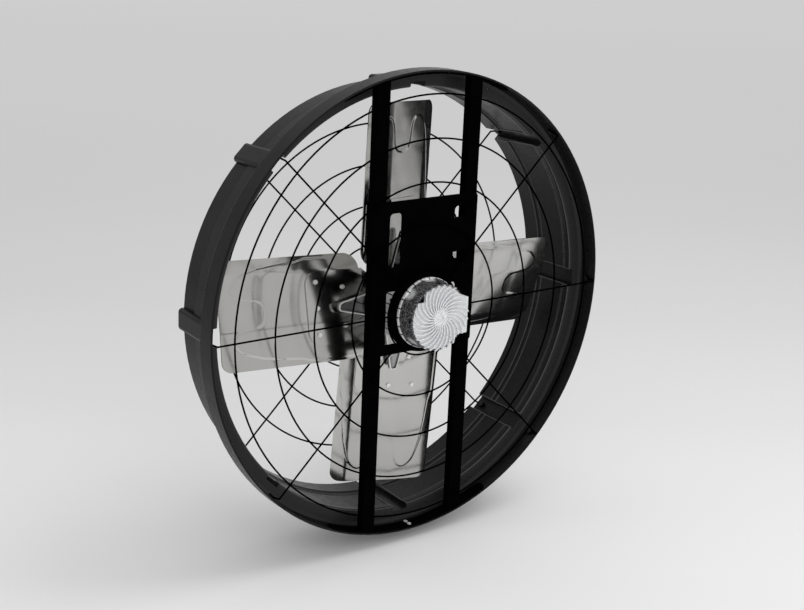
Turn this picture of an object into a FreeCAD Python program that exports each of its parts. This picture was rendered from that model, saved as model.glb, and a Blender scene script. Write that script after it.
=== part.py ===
import FreeCAD, Part
import math
import os
import re

import Sketcher

# Axial wall fan: a moulded ring with a motor carried on two bars in front and a
# four-blade propeller inside.  Millimetres.  +Z is up, the fan's axis is Y and the
# motor faces -Y.  The origin is the centre of the wall face of the ring's shoulder.

SIZES = [
    # moulded ring
    ("outer_radius", "667", "outside of the front collar"),
    ("collar_wall", "6", "thickness of the collar"),
    ("collar_depth", "65", "front rim to the wall face"),
    ("throat_radius", "613", "narrowest inside radius, at the shoulder"),
    ("ring_wall", "5", "thickness of shoulder and rear body"),
    ("rear_radius", "604", "inside radius of the rear rim"),
    ("rear_depth", "186", "wall face to the rear rim"),
    ("bead_position", "111", "wall face to the first step of the rear body"),
    ("lug_count", "8", "raised pads round the rear body"),
    ("lug_width", "60", "outside width of a pad"),
    ("lug_round", "9", "rounded outer corners of a pad"),
    ("lug_front_radius", "630", "inside radius of a pad at the shoulder"),
    ("lug_rear_radius", "620", "inside radius of a pad at the rear rim"),
    ("wall_bolt_radius", "645", "radius of the circle of wall screws"),
    ("wall_hole_radius", "2.75", "wall screw hole"),
    # motor frame
    ("strap_thickness", "5", "curved strap inside the collar"),
    ("strap_width", "38", "strap size along the axis"),
    ("strap_inset", "2", "front rim to the front edge of the strap"),
    ("strap_angle", "50", "arc covered by a strap, degrees"),
    ("bar_spacing", "311.4", "between the middles of the two bars"),
    ("bar_width", "40", "face of a bar"),
    ("bar_depth", "27", "channel depth of a bar"),
    ("bar_wall", "3", "sheet thickness of a bar"),
    ("plate_half_width", "177", "motor plate"),
    ("plate_top", "321", "motor plate above the axis"),
    ("plate_bottom", "112", "motor plate below the axis"),
    ("plate_thickness", "4", "motor plate"),
    ("slot_width", "40", "upper slots of the motor plate"),
    ("slot_height", "150", "upper slots of the motor plate"),
    ("slot_middle", "213", "middle of the upper slots above the axis"),
    ("slot_round", "12", "corners of the upper slots"),
    ("slot_bridge_low", "157", "lower edge of the bridge across the right slot"),
    ("slot_bridge_high", "256", "upper edge of the bridge across the right slot"),
    ("slot_left", "104", "axis to the middle of the left slot"),
    ("slot_right", "118", "axis to the middle of the right slot"),
    ("window_side", "127", "straight outer side of the lower windows"),
    ("window_top", "70", "lower windows above the axis"),
    ("window_bottom", "82", "lower windows below the axis"),
    ("plate_ring_radius", "117", "band of the plate round the motor"),
    # motor
    ("motor_hole_radius", "92.6", "bore of the plate for the motor"),
    ("can_radius", "97", "front shell of the motor behind the cap"),
    ("can_front_radius", "94", "front shell at the cap"),
    ("can_rim_radius", "100.6", "notched rim of the front shell"),
    ("can_wall", "4", "thickness of the motor shells"),
    ("can_front", "78", "front rim plane to the front edge of the shell"),
    ("can_rim", "27", "front rim plane to the notched rim"),
    ("notch_count", "24", "notches in the rim of the front shell"),
    ("notch_width", "3", "notches in the rim of the front shell"),
    ("flange_radius", "114", "black flange in front of the plate"),
    ("flange_depth", "16", "black flange in front of the plate"),
    ("rear_shell_radius", "102", "motor shell behind the plate"),
    ("rear_shell_depth", "100", "motor shell behind the front rim plane"),
    ("flange_bolt_radius", "108", "circle of bolts through flange and plate"),
    ("cap_radius", "94.3", "finned end cap"),
    ("cap_face", "78", "front rim plane to the root of the fins"),
    ("fin_height", "8", "spiral fins of the end cap"),
    ("fin_count", "28", "spiral fins of the end cap"),
    ("fin_sweep", "48", "turn of a fin from its root to its end, degrees"),
    ("fin_width", "4.2", "spiral fins of the end cap"),
    ("box_side", "100", "axis to the flat side of the connection box"),
    ("box_top", "64", "connection box above the axis"),
    ("box_bottom", "57", "connection box below the axis"),
    ("box_start", "55", "axis to the step where the box begins"),
    ("box_depth", "46", "connection box along the axis"),
    ("shaft_radius", "14", "motor shaft"),
    ("key_width", "8", "square key between shaft and hub"),
    ("key_length", "26", "square key between shaft and hub"),
    ("bearing_outer", "28", "outside radius of a bearing"),
    ("bearing_width", "15", "bearing along the axis"),
    ("stator_bore", "60.5", "inside radius of the stator core"),
    ("rotor_radius", "60", "outside radius of the rotor core"),
    ("core_length", "62", "stator and rotor cores along the axis"),
    # propeller
    ("hub_face", "112", "front rim plane to the seat of the star on the hub"),
    ("star_depth", "10", "star with its turned edges"),
    ("star_wall", "3", "sheet thickness of the star"),
    ("star_tip", "205", "axis to the end of an arm of the star"),
    ("star_tip_width", "24", "arm of the star at its end"),
    ("star_root", "47", "half width of an arm where it meets the next one"),
    ("boss_radius", "48", "hub boss between star and blade carrier"),
    ("blade_lag", "2.9", "rest position of the blades before the cross, degrees"),
    ("blade_pitch", "17.3", "blade chord against the plane of rotation, degrees"),
    ("blade_cone", "1.7", "blade axis against the plane of rotation, degrees"),
    ("blade_middle", "137.5", "front rim plane to the chord of the blade at the axis"),
    ("blade_offset", "9.8", "middle of the chord ahead of the radius"),
    ("blade_chord", "298", "leading edge to trailing edge"),
    ("blade_root", "112", "axis to the root edge of a blade"),
    ("blade_tip", "562", "axis to the tip edge of a blade"),
    ("blade_sheet", "3", "sheet thickness of a blade"),
    ("blade_camber", "8.5", "middle of the blade above its chord"),
    ("blade_flat_back", "105", "middle of the chord to the rear bend"),
    ("blade_flat_front", "42", "middle of the chord to the front bend"),
    ("blade_corner", "30", "corner radius of a blade"),
    ("emboss_height", "2", "raised panel of a blade"),
    ("carrier_face", "121", "front rim plane to the front of the blade carrier"),
    ("carrier_sheet", "4", "sheet thickness of the blade carrier in front of the blades"),
    ("carrier_reach", "292", "axis to the rounded end of a carrier arm"),
    ("carrier_width", "206", "arm of the carrier under a blade"),
    ("carrier_disc", "100", "flat middle of the blade carrier"),
    # guards
    ("wire_radius", "2.5", "wire of both guards"),
    ("guard_first", "125", "radius of the innermost guard ring"),
    ("guard_pitch", "120", "radius step from ring to ring"),
    ("front_guard_plane", "12.7", "front guard ahead of the front rim"),
    ("rear_guard_plane", "9.5", "rear guard behind the rear rim"),
    ("guard_lap", "0.6", "sink of a guard wire into the one it crosses"),
    ("eyelet_radius", "7.5", "middle of the wire of an eyelet"),
    ("front_eyelet", "28", "front rim plane to the front eyelets"),
    ("rear_eyelet", "24", "rear rim plane to the rear eyelets"),
    # fits and fasteners
    ("fit", "0.3", "gap between round faces that sit in each other"),
    ("running_fit", "0.1", "gap between shaft and bearing"),
]

doc = FreeCAD.newDocument("axial_wall_fan")
sheet = doc.addObject("Spreadsheet::Sheet", "sizes")
for row, (name, number, note) in enumerate(SIZES, start=1):
    sheet.set("A%d" % row, name)
    sheet.set("B%d" % row, number)
    sheet.setAlias("B%d" % row, name)
    sheet.set("C%d" % row, note)
doc.recompute()

WORDS = re.compile(r"\b(%s)\b" % "|".join(name for name, number, note in SIZES))
FRONT = FreeCAD.Vector(0, -1, 0)
BACK = FreeCAD.Vector(0, 1, 0)
PARTS = []


def bound(text):
    """Write the names of sizes in a formula as cells of the sheet."""
    return WORDS.sub(r"sizes.\1", str(text))


def size(text):
    """Work out a formula of sizes as a number."""
    return float(sheet.evalExpression(bound(text)))


def tie(thing, prop, text):
    """Bind a property to a formula of sizes."""
    thing.setExpression(prop, bound(text))


def keep(thing, label):
    """Name a finished piece; its label is also the name of its file."""
    thing.Label = label
    PARTS.append(thing)
    return thing


def new_body(label, along=None):
    """Start a body; along is its place on the fan's axis."""
    body = doc.addObject("PartDesign::Body", label)
    if along:
        tie(body, "Placement.Base.y", along)
    return body


def new_sketch(body, role, shift="0"):
    """Start a sketch on an origin plane of the body, shifted along its normal."""
    sketch = body.newObject("Sketcher::SketchObject", body.Name + "_sketch")
    plane = [item for item in body.Origin.OriginFeatures if item.Role == role][0]
    sketch.AttachmentSupport = [(plane, "")]
    sketch.MapMode = "FlatFace"
    tie(sketch, "AttachmentOffset.Base.z", shift)
    return sketch


def pin(sketch, line, end, across, up):
    """Hold a point of a sketch at two formulas."""
    for kind, text in (("DistanceX", across), ("DistanceY", up)):
        number = sketch.addConstraint(Sketcher.Constraint(kind, line, end, size(text)))
        tie(sketch, "Constraints[%d]" % number, text)


def outline(sketch, points):
    """Draw a closed outline of straight lines through points given as formulas."""
    first = sketch.GeometryCount
    places = [FreeCAD.Vector(size(across), size(up), 0) for across, up in points]
    total = len(points)
    for step in range(total):
        sketch.addGeometry(Part.LineSegment(places[step], places[(step + 1) % total]), False)
    for step in range(total):
        after = first + (step + 1) % total
        sketch.addConstraint(Sketcher.Constraint("Coincident", first + step, 2, after, 1))
    for step, (across, up) in enumerate(points):
        pin(sketch, first + step, 1, across, up)


def circle(sketch, radius, across="0", up="0"):
    """Draw a circle given as formulas."""
    middle = FreeCAD.Vector(size(across), size(up), 0)
    shape = Part.Circle(middle, FreeCAD.Vector(0, 0, 1), size(radius))
    line = sketch.addGeometry(shape, False)
    pin(sketch, line, 3, across, up)
    number = sketch.addConstraint(Sketcher.Constraint("Radius", line, size(radius)))
    tie(sketch, "Constraints[%d]" % number, radius)


def pad(body, sketch, length, both=False, back=False):
    """Raise a sketch into a solid."""
    feature = body.newObject("PartDesign::Pad", body.Name + "_pad")
    feature.Profile = sketch
    feature.SideType = "Symmetric" if both else "One side"
    feature.Reversed = back
    tie(feature, "Length", length)
    doc.recompute()
    return feature


def pocket(body, sketch, length, both=False, back=False):
    """Cut a sketch out of the solid, and check that it took something away."""
    before = body.Shape.Volume
    feature = body.newObject("PartDesign::Pocket", body.Name + "_pocket")
    feature.Profile = sketch
    feature.SideType = "Symmetric" if both else "One side"
    feature.Reversed = back
    tie(feature, "Length", length)
    doc.recompute()
    if not body.Shape.Volume < before - 1e-3:
        raise ValueError("nothing cut in " + body.Name)
    return feature


def revolve(body, sketch, angle="360", both=False):
    """Turn a sketch round the fan's axis."""
    feature = body.newObject("PartDesign::Revolution", body.Name + "_turn")
    feature.Profile = sketch
    feature.ReferenceAxis = (sketch, ["V_Axis"])
    feature.Midplane = both
    tie(feature, "Angle", angle)
    doc.recompute()
    return feature


def groove(body, sketch):
    """Turn a sketch round the fan's axis and take it away."""
    feature = body.newObject("PartDesign::Groove", body.Name + "_groove")
    feature.Profile = sketch
    feature.ReferenceAxis = (sketch, ["V_Axis"])
    feature.Angle = 360
    doc.recompute()
    return feature


def polar(body, sketch, originals, count, axis="V_Axis"):
    """Repeat features round the fan's axis."""
    feature = body.newObject("PartDesign::PolarPattern", body.Name + "_polar")
    feature.Originals = originals
    feature.Axis = (sketch, [axis])
    feature.Angle = 360
    tie(feature, "Occurrences", count)
    body.Tip = feature
    doc.recompute()
    return feature


def round_edges(body, feature, wanted, radius):
    """Round the edges of a body for which wanted() is true."""
    names = []
    for number, edge in enumerate(feature.Shape.Edges, start=1):
        if wanted(edge):
            names.append("Edge%d" % number)
    rounding = body.newObject("PartDesign::Fillet", body.Name + "_round")
    rounding.Base = (feature, names)
    tie(rounding, "Radius", radius)
    doc.recompute()
    return rounding


def straight_along(edge, direction):
    """Tell whether an edge is a straight line along a direction."""
    if not isinstance(edge.Curve, Part.Line):
        return False
    return abs(abs(edge.Curve.Direction.dot(direction)) - 1) < 1e-6


def turned(label, points, along=None):
    """Make a ring-shaped piece from its half section; each point is radius, axis."""
    body = new_body(label, along)
    sketch = new_sketch(body, "XY_Plane")
    outline(sketch, points)
    revolve(body, sketch)
    return body


def place(thing, across, along, up, turn):
    """Set a piece at three formulas with a fixed turn."""
    thing.Placement = FreeCAD.Placement(FreeCAD.Vector(0, 0, 0), turn)
    tie(thing, "Placement.Base.x", across)
    tie(thing, "Placement.Base.y", along)
    tie(thing, "Placement.Base.z", up)


def rod(radius, length, name="rod"):
    """Make a cylinder with its axis along Z."""
    thing = doc.addObject("Part::Cylinder", name)
    tie(thing, "Radius", radius)
    tie(thing, "Height", length)
    return thing


def towards(direction):
    """Turn +Z into a direction."""
    return FreeCAD.Rotation(FreeCAD.Vector(0, 0, 1), direction)


def radial(angle):
    """Direction away from the axis at an angle in the plane of the fan."""
    return FreeCAD.Vector(math.cos(math.radians(angle)), 0, math.sin(math.radians(angle)))


def at_radius(radius, angle):
    """Formulas for the place at a radius and an angle in the plane of the fan."""
    return ("(%s) * cos(%s)" % (radius, angle), "(%s) * sin(%s)" % (radius, angle))


def join(things, name="joined"):
    """Weld pieces into one."""
    thing = doc.addObject("Part::MultiFuse", name)
    thing.Shapes = things
    return thing


def gather(label, things):
    """Group fasteners of one kind as separate solids of one piece."""
    group = doc.addObject("Part::Compound", label)
    group.Links = things
    return keep(group, label)


def drilled(label, thing, drills):
    """Take the drills out of a piece."""
    cut = doc.addObject("Part::Cut", label)
    cut.Base = thing
    cut.Tool = join(drills, label + "_drills") if len(drills) > 1 else drills[0]
    return keep(cut, label)


def fastener(spot, turn, head, head_height, shank, shank_length, sides=0):
    """Make a screw, bolt or nut whose seat is at spot and whose head points along +Z."""
    if sides:
        top = doc.addObject("Part::Prism", "head")
        top.Polygon = sides
        tie(top, "Circumradius", head)
        tie(top, "Height", head_height)
    else:
        top = rod(head, head_height, "head")
    stem = rod(shank, "%s + %s" % (shank_length, head_height), "stem")
    tie(stem, "Placement.Base.z", "-(%s)" % shank_length)
    whole = doc.addObject("Part::Fuse", "fastener")
    whole.Base = top
    whole.Tool = stem
    if spot:
        place(whole, spot[0], spot[1], spot[2], turn)
    return whole


def nut(spot, turn, across, bore, height):
    """Make a hexagon nut that sits at spot and points along +Z."""
    block = doc.addObject("Part::Prism", "nut_block")
    block.Polygon = 6
    tie(block, "Circumradius", across)
    tie(block, "Height", height)
    hole = rod(bore, "%s + 2" % height, "nut_hole")
    tie(hole, "Placement.Base.z", "-1")
    whole = doc.addObject("Part::Cut", "nut")
    whole.Base = block
    whole.Tool = hole
    if spot:
        place(whole, spot[0], spot[1], spot[2], turn)
    return whole


TO_FRONT = towards(FRONT)
TO_BACK = towards(BACK)
GUARD_ANGLES = (0, 45, 135, 180, 225, 315)

# Moulded ring: collar, shoulder that rests on the wall, rear body that passes
# through the wall, with two small steps and a raised pad at every eighth turn.
ring = new_body("ring_blank")
section = new_sketch(ring, "XY_Plane")
outline(section, [
    ("outer_radius - collar_wall + 1", "-collar_depth"),
    ("outer_radius - collar_wall", "-collar_depth + 3"),
    ("outer_radius - collar_wall", "-20"),
    ("outer_radius - collar_wall - 4", "-11"),
    ("outer_radius - collar_wall - 13", "-ring_wall - 1"),
    ("throat_radius + 8", "-ring_wall"),
    ("throat_radius + 2", "-ring_wall + 2"),
    ("throat_radius", "-ring_wall + 7"),
    ("throat_radius", "15"),
    ("throat_radius + 4", "27"),
    ("throat_radius - 1", "bead_position"),
    ("throat_radius - 4", "bead_position + 5"),
    ("throat_radius - 4", "bead_position + 11"),
    ("rear_radius + 1", "bead_position + 18"),
    ("rear_radius", "rear_depth"),
    ("rear_radius + ring_wall", "rear_depth"),
    ("rear_radius + ring_wall + 1", "bead_position + 20"),
    ("throat_radius + ring_wall - 4", "bead_position + 13"),
    ("throat_radius + ring_wall - 4", "bead_position + 6"),
    ("throat_radius + ring_wall - 1", "bead_position + 1"),
    ("throat_radius + ring_wall + 4", "29"),
    ("throat_radius + ring_wall + 1", "14"),
    ("throat_radius + ring_wall + 1", "6"),
    ("throat_radius + ring_wall + 5", "0"),
    ("outer_radius - collar_wall - 7", "0"),
    ("outer_radius - 2", "-5"),
    ("outer_radius", "-9"),
    ("outer_radius", "-collar_depth + 2"),
    ("outer_radius - 1.5", "-collar_depth"),
])
revolve(ring, section)


def lug_end(place, low, high):
    """Draw one end of a raised pad: a block with rounded outer corners."""
    sketch = new_sketch(ring, "XZ_Plane", "-(%s)" % place)
    half = "lug_width / 2"
    outline(sketch, [
        (low, "-(%s)" % half),
        (high + " - lug_round", "-(%s)" % half),
        (high + " - 0.3 * lug_round", "-(%s - 0.3 * lug_round)" % half),
        (high, "-(%s - lug_round)" % half),
        (high, "%s - lug_round" % half),
        (high + " - 0.3 * lug_round", "%s - 0.3 * lug_round" % half),
        (high + " - lug_round", half),
        (low, half),
    ])
    return sketch


lug_front = lug_end("-ring_wall + 2", "throat_radius + 3.5", "lug_front_radius + ring_wall")
lug_rear = lug_end("rear_depth", "rear_radius + 3", "lug_rear_radius + ring_wall")
lug_pad = ring.newObject("PartDesign::AdditiveLoft", "lug_block")
lug_pad.Profile = lug_front
lug_pad.Sections = [(lug_rear, [""])]
lug_pad.Ruled = True
doc.recompute()
polar(ring, section, [lug_pad], "lug_count")
recess = new_sketch(ring, "XY_Plane")
outline(recess, [
    ("rear_radius - 20", "-ring_wall - 6"),
    ("lug_front_radius - 4", "-ring_wall - 6"),
    ("lug_front_radius", "-ring_wall + 4"),
    ("lug_rear_radius", "rear_depth + 3"),
    ("rear_radius - 20", "rear_depth + 3"),
])
recess_cut = pocket(ring, recess, "lug_width - 2 * ring_wall", both=True)
polar(ring, section, [recess_cut], "lug_count")

drills = []
for step in range(8):
    spot = at_radius("wall_bolt_radius", "%g" % (22.5 + 45 * step))
    drill = rod("wall_hole_radius", "3 * ring_wall", "wall_drill")
    place(drill, spot[0], "-2 * ring_wall", spot[1], TO_BACK)
    drills.append(drill)
for angle in GUARD_ANGLES:
    spot = at_radius("outer_radius - 2 * collar_wall", angle)
    drill = rod("2.8", "2 * collar_wall - 1.5", "guard_drill")
    place(drill, spot[0], "front_eyelet - collar_depth", spot[1], towards(radial(angle)))
    drills.append(drill)
    spot = at_radius("lug_rear_radius - ring_wall", angle)
    drill = rod("2.8", "2 * ring_wall", "guard_drill")
    place(drill, spot[0], "rear_depth - rear_eyelet", spot[1], towards(radial(angle)))
    drills.append(drill)
for angle in (90, 270):
    for inset in ("10", "28"):
        spot = at_radius("outer_radius - 2 * collar_wall", angle)
        drill = rod("3.3", "2 * collar_wall - 1.5", "strap_drill")
        place(drill, spot[0], "strap_inset + %s - collar_depth" % inset, spot[1],
              towards(radial(angle)))
        drills.append(drill)
drilled("housing_ring", ring, drills)

# Curved straps inside the collar, top and bottom, which carry the two bars.
strap_outer = "outer_radius - collar_wall - fit"
strap_inner = "outer_radius - collar_wall - fit - strap_thickness"
for label, angle in (("strap_top", 90), ("strap_bottom", 270)):
    body = new_body(label + "_blank")
    sketch = new_sketch(body, "XY_Plane")
    outline(sketch, [
        (strap_inner, "strap_inset - collar_depth"),
        (strap_outer, "strap_inset - collar_depth"),
        (strap_outer, "strap_inset + strap_width - collar_depth"),
        (strap_inner, "strap_inset + strap_width - collar_depth"),
    ])
    turn = revolve(body, sketch, "strap_angle", both=True)

    def end_corner(edge):
        """A short edge across the thickness at either end of the strap."""
        return abs(edge.Length - size("strap_thickness")) < 0.01

    round_edges(body, turn, end_corner, "strap_width / 2 - 1")
    body.Placement = FreeCAD.Placement(FreeCAD.Vector(0, 0, 0),
                                       FreeCAD.Rotation(FreeCAD.Vector(0, 1, 0), -angle))
    drills = []
    for inset in ("10", "28"):
        spot = at_radius(strap_inner + " - 5", angle)
        drill = rod("3.3", "strap_thickness + 15", "strap_drill")
        place(drill, spot[0], "strap_inset + %s - collar_depth" % inset, spot[1],
              towards(radial(angle)))
        drills.append(drill)
    drilled(label, body, drills)

rivets = []
for angle in (90, 270):
    for inset in ("10", "28"):
        spot = at_radius(strap_inner + " - fit / 2", angle)
        rivet = fastener((spot[0], "strap_inset + %s - collar_depth" % inset, spot[1]),
                         towards(radial(angle + 180)), "6", "2.5", "3",
                         "strap_thickness + 2 * fit + collar_wall - 2.5")
        rivets.append(rivet)
gather("strap_rivets", rivets)

# Two channel bars from strap to strap, web to the front.
plate_bolt_heights = ("290", "190", "92", "-96")
for label, side in (("left_bar", "-"), ("right_bar", "+")):
    body = new_body(label + "_blank", "-collar_depth")
    sketch = new_sketch(body, "XZ_Plane")
    middle = "%sbar_spacing / 2" % side
    outline(sketch, [
        (middle + " - bar_width / 2", "-outer_radius"),
        (middle + " + bar_width / 2", "-outer_radius"),
        (middle + " + bar_width / 2", "outer_radius"),
        (middle + " - bar_width / 2", "outer_radius"),
    ])
    pad(body, sketch, "bar_depth", back=True)
    sketch = new_sketch(body, "XZ_Plane", "-bar_wall")
    outline(sketch, [
        (middle + " - bar_width / 2 + bar_wall", "-outer_radius - 5"),
        (middle + " + bar_width / 2 - bar_wall", "-outer_radius - 5"),
        (middle + " + bar_width / 2 - bar_wall", "outer_radius + 5"),
        (middle + " - bar_width / 2 + bar_wall", "outer_radius + 5"),
    ])
    pocket(body, sketch, "bar_depth + 10")
    sketch = new_sketch(body, "XY_Plane")
    outline(sketch, [
        (strap_inner + " - fit", "-5"),
        ("outer_radius * 1.1", "-5"),
        ("outer_radius * 1.1", "bar_depth + 5"),
        (strap_inner + " - fit", "bar_depth + 5"),
    ])
    groove(body, sketch)
    drills = []
    for height in plate_bolt_heights:
        drill = rod("4.3", "2 * bar_wall + 10", "bolt_drill")
        place(drill, middle, "-collar_depth - 5", height, TO_BACK)
        drills.append(drill)
    drilled(label, body, drills)

# Motor plate on the front of the bars: two upper slots, the right one with a bridge
# across it, and two lower windows that leave a band round the motor.
body = new_body("plate_blank", "-collar_depth")
sketch = new_sketch(body, "XZ_Plane")
outline(sketch, [
    ("-plate_half_width", "-plate_bottom"),
    ("plate_half_width", "-plate_bottom"),
    ("plate_half_width", "plate_top"),
    ("-plate_half_width", "plate_top"),
])
sheet_pad = pad(body, sketch, "plate_thickness")
round_edges(body, sheet_pad, lambda edge: straight_along(edge, BACK), "12")
sketch = new_sketch(body, "XZ_Plane", "plate_thickness")
for side in ("-", ""):
    outline(sketch, [
        (side + "window_side", "-window_bottom"),
        (side + "window_side / 2", "-window_bottom"),
        (side + "window_side / 2", "window_top"),
        (side + "window_side", "window_top"),
    ])
window_cut = pocket(body, sketch, "2 * plate_thickness")


def window_corner(edge):
    """An outer corner of a lower window."""
    if not straight_along(edge, BACK):
        return False
    return abs(abs(edge.BoundBox.Center.x) - size("window_side")) < 0.01


round_edges(body, window_cut, window_corner, "7")
sketch = new_sketch(body, "XZ_Plane")
circle(sketch, "plate_ring_radius")
pad(body, sketch, "plate_thickness")
sketch = new_sketch(body, "XZ_Plane", "plate_thickness")
circle(sketch, "motor_hole_radius")
pocket(body, sketch, "2 * plate_thickness")
sketch = new_sketch(body, "XZ_Plane", "plate_thickness")
slot_foot = "slot_middle - slot_height / 2"
slot_head = "slot_middle + slot_height / 2"
for middle, low, high in (("-slot_left", slot_foot, slot_head),
                          ("slot_right", slot_foot, "slot_bridge_low"),
                          ("slot_right", "slot_bridge_high", slot_head)):
    outline(sketch, [
        (middle + " - slot_width / 2", low),
        (middle + " + slot_width / 2", low),
        (middle + " + slot_width / 2", high),
        (middle + " - slot_width / 2", high),
    ])
slot_cut = pocket(body, sketch, "2 * plate_thickness")


def slot_corner(edge):
    """A corner at either end of one of the upper slots."""
    if not straight_along(edge, BACK):
        return False
    middle = edge.BoundBox.Center
    ends = (size(slot_foot), size(slot_head))
    return min(abs(middle.z - end) for end in ends) < 0.01


round_edges(body, slot_cut, slot_corner, "slot_round")
drills = []
for side in ("-", "+"):
    for height in plate_bolt_heights:
        drill = rod("4.3", "plate_thickness + 10", "bolt_drill")
        place(drill, side + "bar_spacing / 2", "-collar_depth + 5", height, TO_FRONT)
        drills.append(drill)
flange_bolt_angles = [22.5 + 45 * step for step in range(8)]
for angle in flange_bolt_angles:
    spot = at_radius("flange_bolt_radius", "%g" % angle)
    drill = rod("2.8", "plate_thickness + 10", "bolt_drill")
    place(drill, spot[0], "-collar_depth + 5", spot[1], TO_FRONT)
    drills.append(drill)
drilled("motor_plate", body, drills)

bolts = []
nuts = []
for side in ("-", "+"):
    for height in plate_bolt_heights:
        spot = (side + "bar_spacing / 2", "-collar_depth - plate_thickness", height)
        bolts.append(fastener(spot, TO_FRONT, "7", "3.5", "4",
                              "plate_thickness + bar_wall + 9", sides=6))
        nuts.append(nut((spot[0], "-collar_depth + bar_wall", height), TO_BACK,
                        "7", "4.3", "6"))
gather("plate_bolts", bolts)
gather("plate_nuts", nuts)

# Motor: black flange, notched front shell, finned cap, rear shell, and inside them
# the cores, the windings and two bearings.
body = turned("flange_blank", [
    ("motor_hole_radius", "0"),
    ("flange_radius", "0"),
    ("flange_radius", "-flange_depth + 3"),
    ("flange_radius - 3", "-flange_depth"),
    ("motor_hole_radius", "-flange_depth"),
], "-collar_depth - plate_thickness")
drills = []
for angle in flange_bolt_angles:
    spot = at_radius("flange_bolt_radius", "%g" % angle)
    drill = rod("2.8", "flange_depth + 10", "bolt_drill")
    place(drill, spot[0], "-collar_depth", spot[1], TO_FRONT)
    drills.append(drill)
drilled("motor_flange", body, drills)

rim_back = "-plate_thickness - flange_depth"
body = turned("front_shell_blank", [
    ("can_front_radius - can_wall", "-can_front"),
    ("can_front_radius", "-can_front"),
    ("can_radius", "-can_rim - 4"),
    ("can_rim_radius", "-can_rim"),
    ("can_rim_radius", rim_back),
    ("motor_hole_radius - fit", rim_back),
    ("motor_hole_radius - fit", "0"),
    ("motor_hole_radius - fit - can_wall", "0"),
    ("motor_hole_radius - fit - can_wall", rim_back),
    ("can_front_radius - can_wall", "-can_rim - 8"),
], "-collar_depth")
axis_sketch = [item for item in body.Group if item.isDerivedFrom("Sketcher::SketchObject")][0]
sketch = new_sketch(body, "XY_Plane")
outline(sketch, [
    ("can_rim_radius - 5", "-can_rim - 6"),
    ("can_rim_radius + 3", "-can_rim - 6"),
    ("can_rim_radius + 3", rim_back + " + 2"),
    ("can_rim_radius - 5", rim_back + " + 2"),
])
notch = pocket(body, sketch, "notch_width", both=True)
polar(body, axis_sketch, [notch], "notch_count")
drills = []
for angle in (137, 227):
    spot = at_radius("can_radius - 12", angle)
    drill = rod("2", "20", "shell_drill")
    place(drill, spot[0], "-collar_depth - can_rim - 11", spot[1], towards(radial(angle)))
    drills.append(drill)
for angle in (90, 180, 270):
    spot = at_radius("can_front_radius - 10", angle)
    drill = rod("2.3", "20", "cap_drill")
    place(drill, spot[0], "-collar_depth - cap_face + 6", spot[1], towards(radial(angle)))
    drills.append(drill)
drilled("motor_front_shell", body, drills)

seat = "rear_shell_depth - bearing_width"
body = turned("rear_shell_blank", [
    ("rear_shell_radius + 10", "0"),
    ("rear_shell_radius + 10", "6"),
    ("rear_shell_radius", "8"),
    ("rear_shell_radius", "rear_shell_depth - 8"),
    ("rear_shell_radius - 8", "rear_shell_depth"),
    ("shaft_radius + 4", "rear_shell_depth"),
    ("shaft_radius + 4", "rear_shell_depth - 2"),
    ("bearing_outer + fit", "rear_shell_depth - 2"),
    ("bearing_outer + fit", seat + " - 2"),
    ("bearing_outer + 8", seat + " - 2"),
    ("bearing_outer + 12", "rear_shell_depth - 6"),
    ("rear_shell_radius - can_wall - 6", "rear_shell_depth - 6"),
    ("rear_shell_radius - can_wall", "rear_shell_depth - 12"),
    ("rear_shell_radius - can_wall", "0"),
], "-collar_depth")
drills = []
for angle in flange_bolt_angles:
    spot = at_radius("flange_bolt_radius", "%g" % angle)
    drill = rod("2.8", "20", "bolt_drill")
    place(drill, spot[0], "-collar_depth - 5", spot[1], TO_BACK)
    drills.append(drill)
drilled("motor_rear_shell", body, drills)

bolts = []
for angle in flange_bolt_angles:
    spot = at_radius("flange_bolt_radius", "%g" % angle)
    bolts.append(fastener((spot[0], "-collar_depth - plate_thickness - flange_depth", spot[1]),
                          TO_FRONT, "4.2", "3", "2.5",
                          "plate_thickness + flange_depth + 12"))
gather("flange_bolts", bolts)
nuts = []
for angle in flange_bolt_angles:
    spot = at_radius("flange_bolt_radius", "%g" % angle)
    nuts.append(nut((spot[0], "-collar_depth + 8", spot[1]), TO_BACK, "4.4", "2.8", "4"))
gather("flange_nuts", nuts)

# End cap: serrated disc with a connection box on its right, both covered with spiral
# fins.


def cap_plate(name, radius, front, depth):
    """Make a slice of the outline of the cap: a cut disc and the end of the box."""
    body = new_body(name, "-collar_depth - cap_face")
    sketch = new_sketch(body, "XZ_Plane", front)
    circle(sketch, radius)
    pad(body, sketch, depth, back=True)
    sketch = new_sketch(body, "XZ_Plane", front)
    outline(sketch, [
        ("box_start", "-cap_radius - 5"),
        ("cap_radius + 5", "-cap_radius - 5"),
        ("cap_radius + 5", "cap_radius + 5"),
        ("box_start", "cap_radius + 5"),
    ])
    pocket(body, sketch, depth)
    sketch = new_sketch(body, "XZ_Plane", front)
    outline(sketch, [
        ("box_start - 9", "-box_bottom"),
        ("box_side", "-box_bottom"),
        ("box_side", "box_top - 18"),
        ("box_start", "box_top"),
        ("box_start - 9", "box_top"),
    ])
    pad(body, sketch, depth, back=True)
    return body


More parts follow.
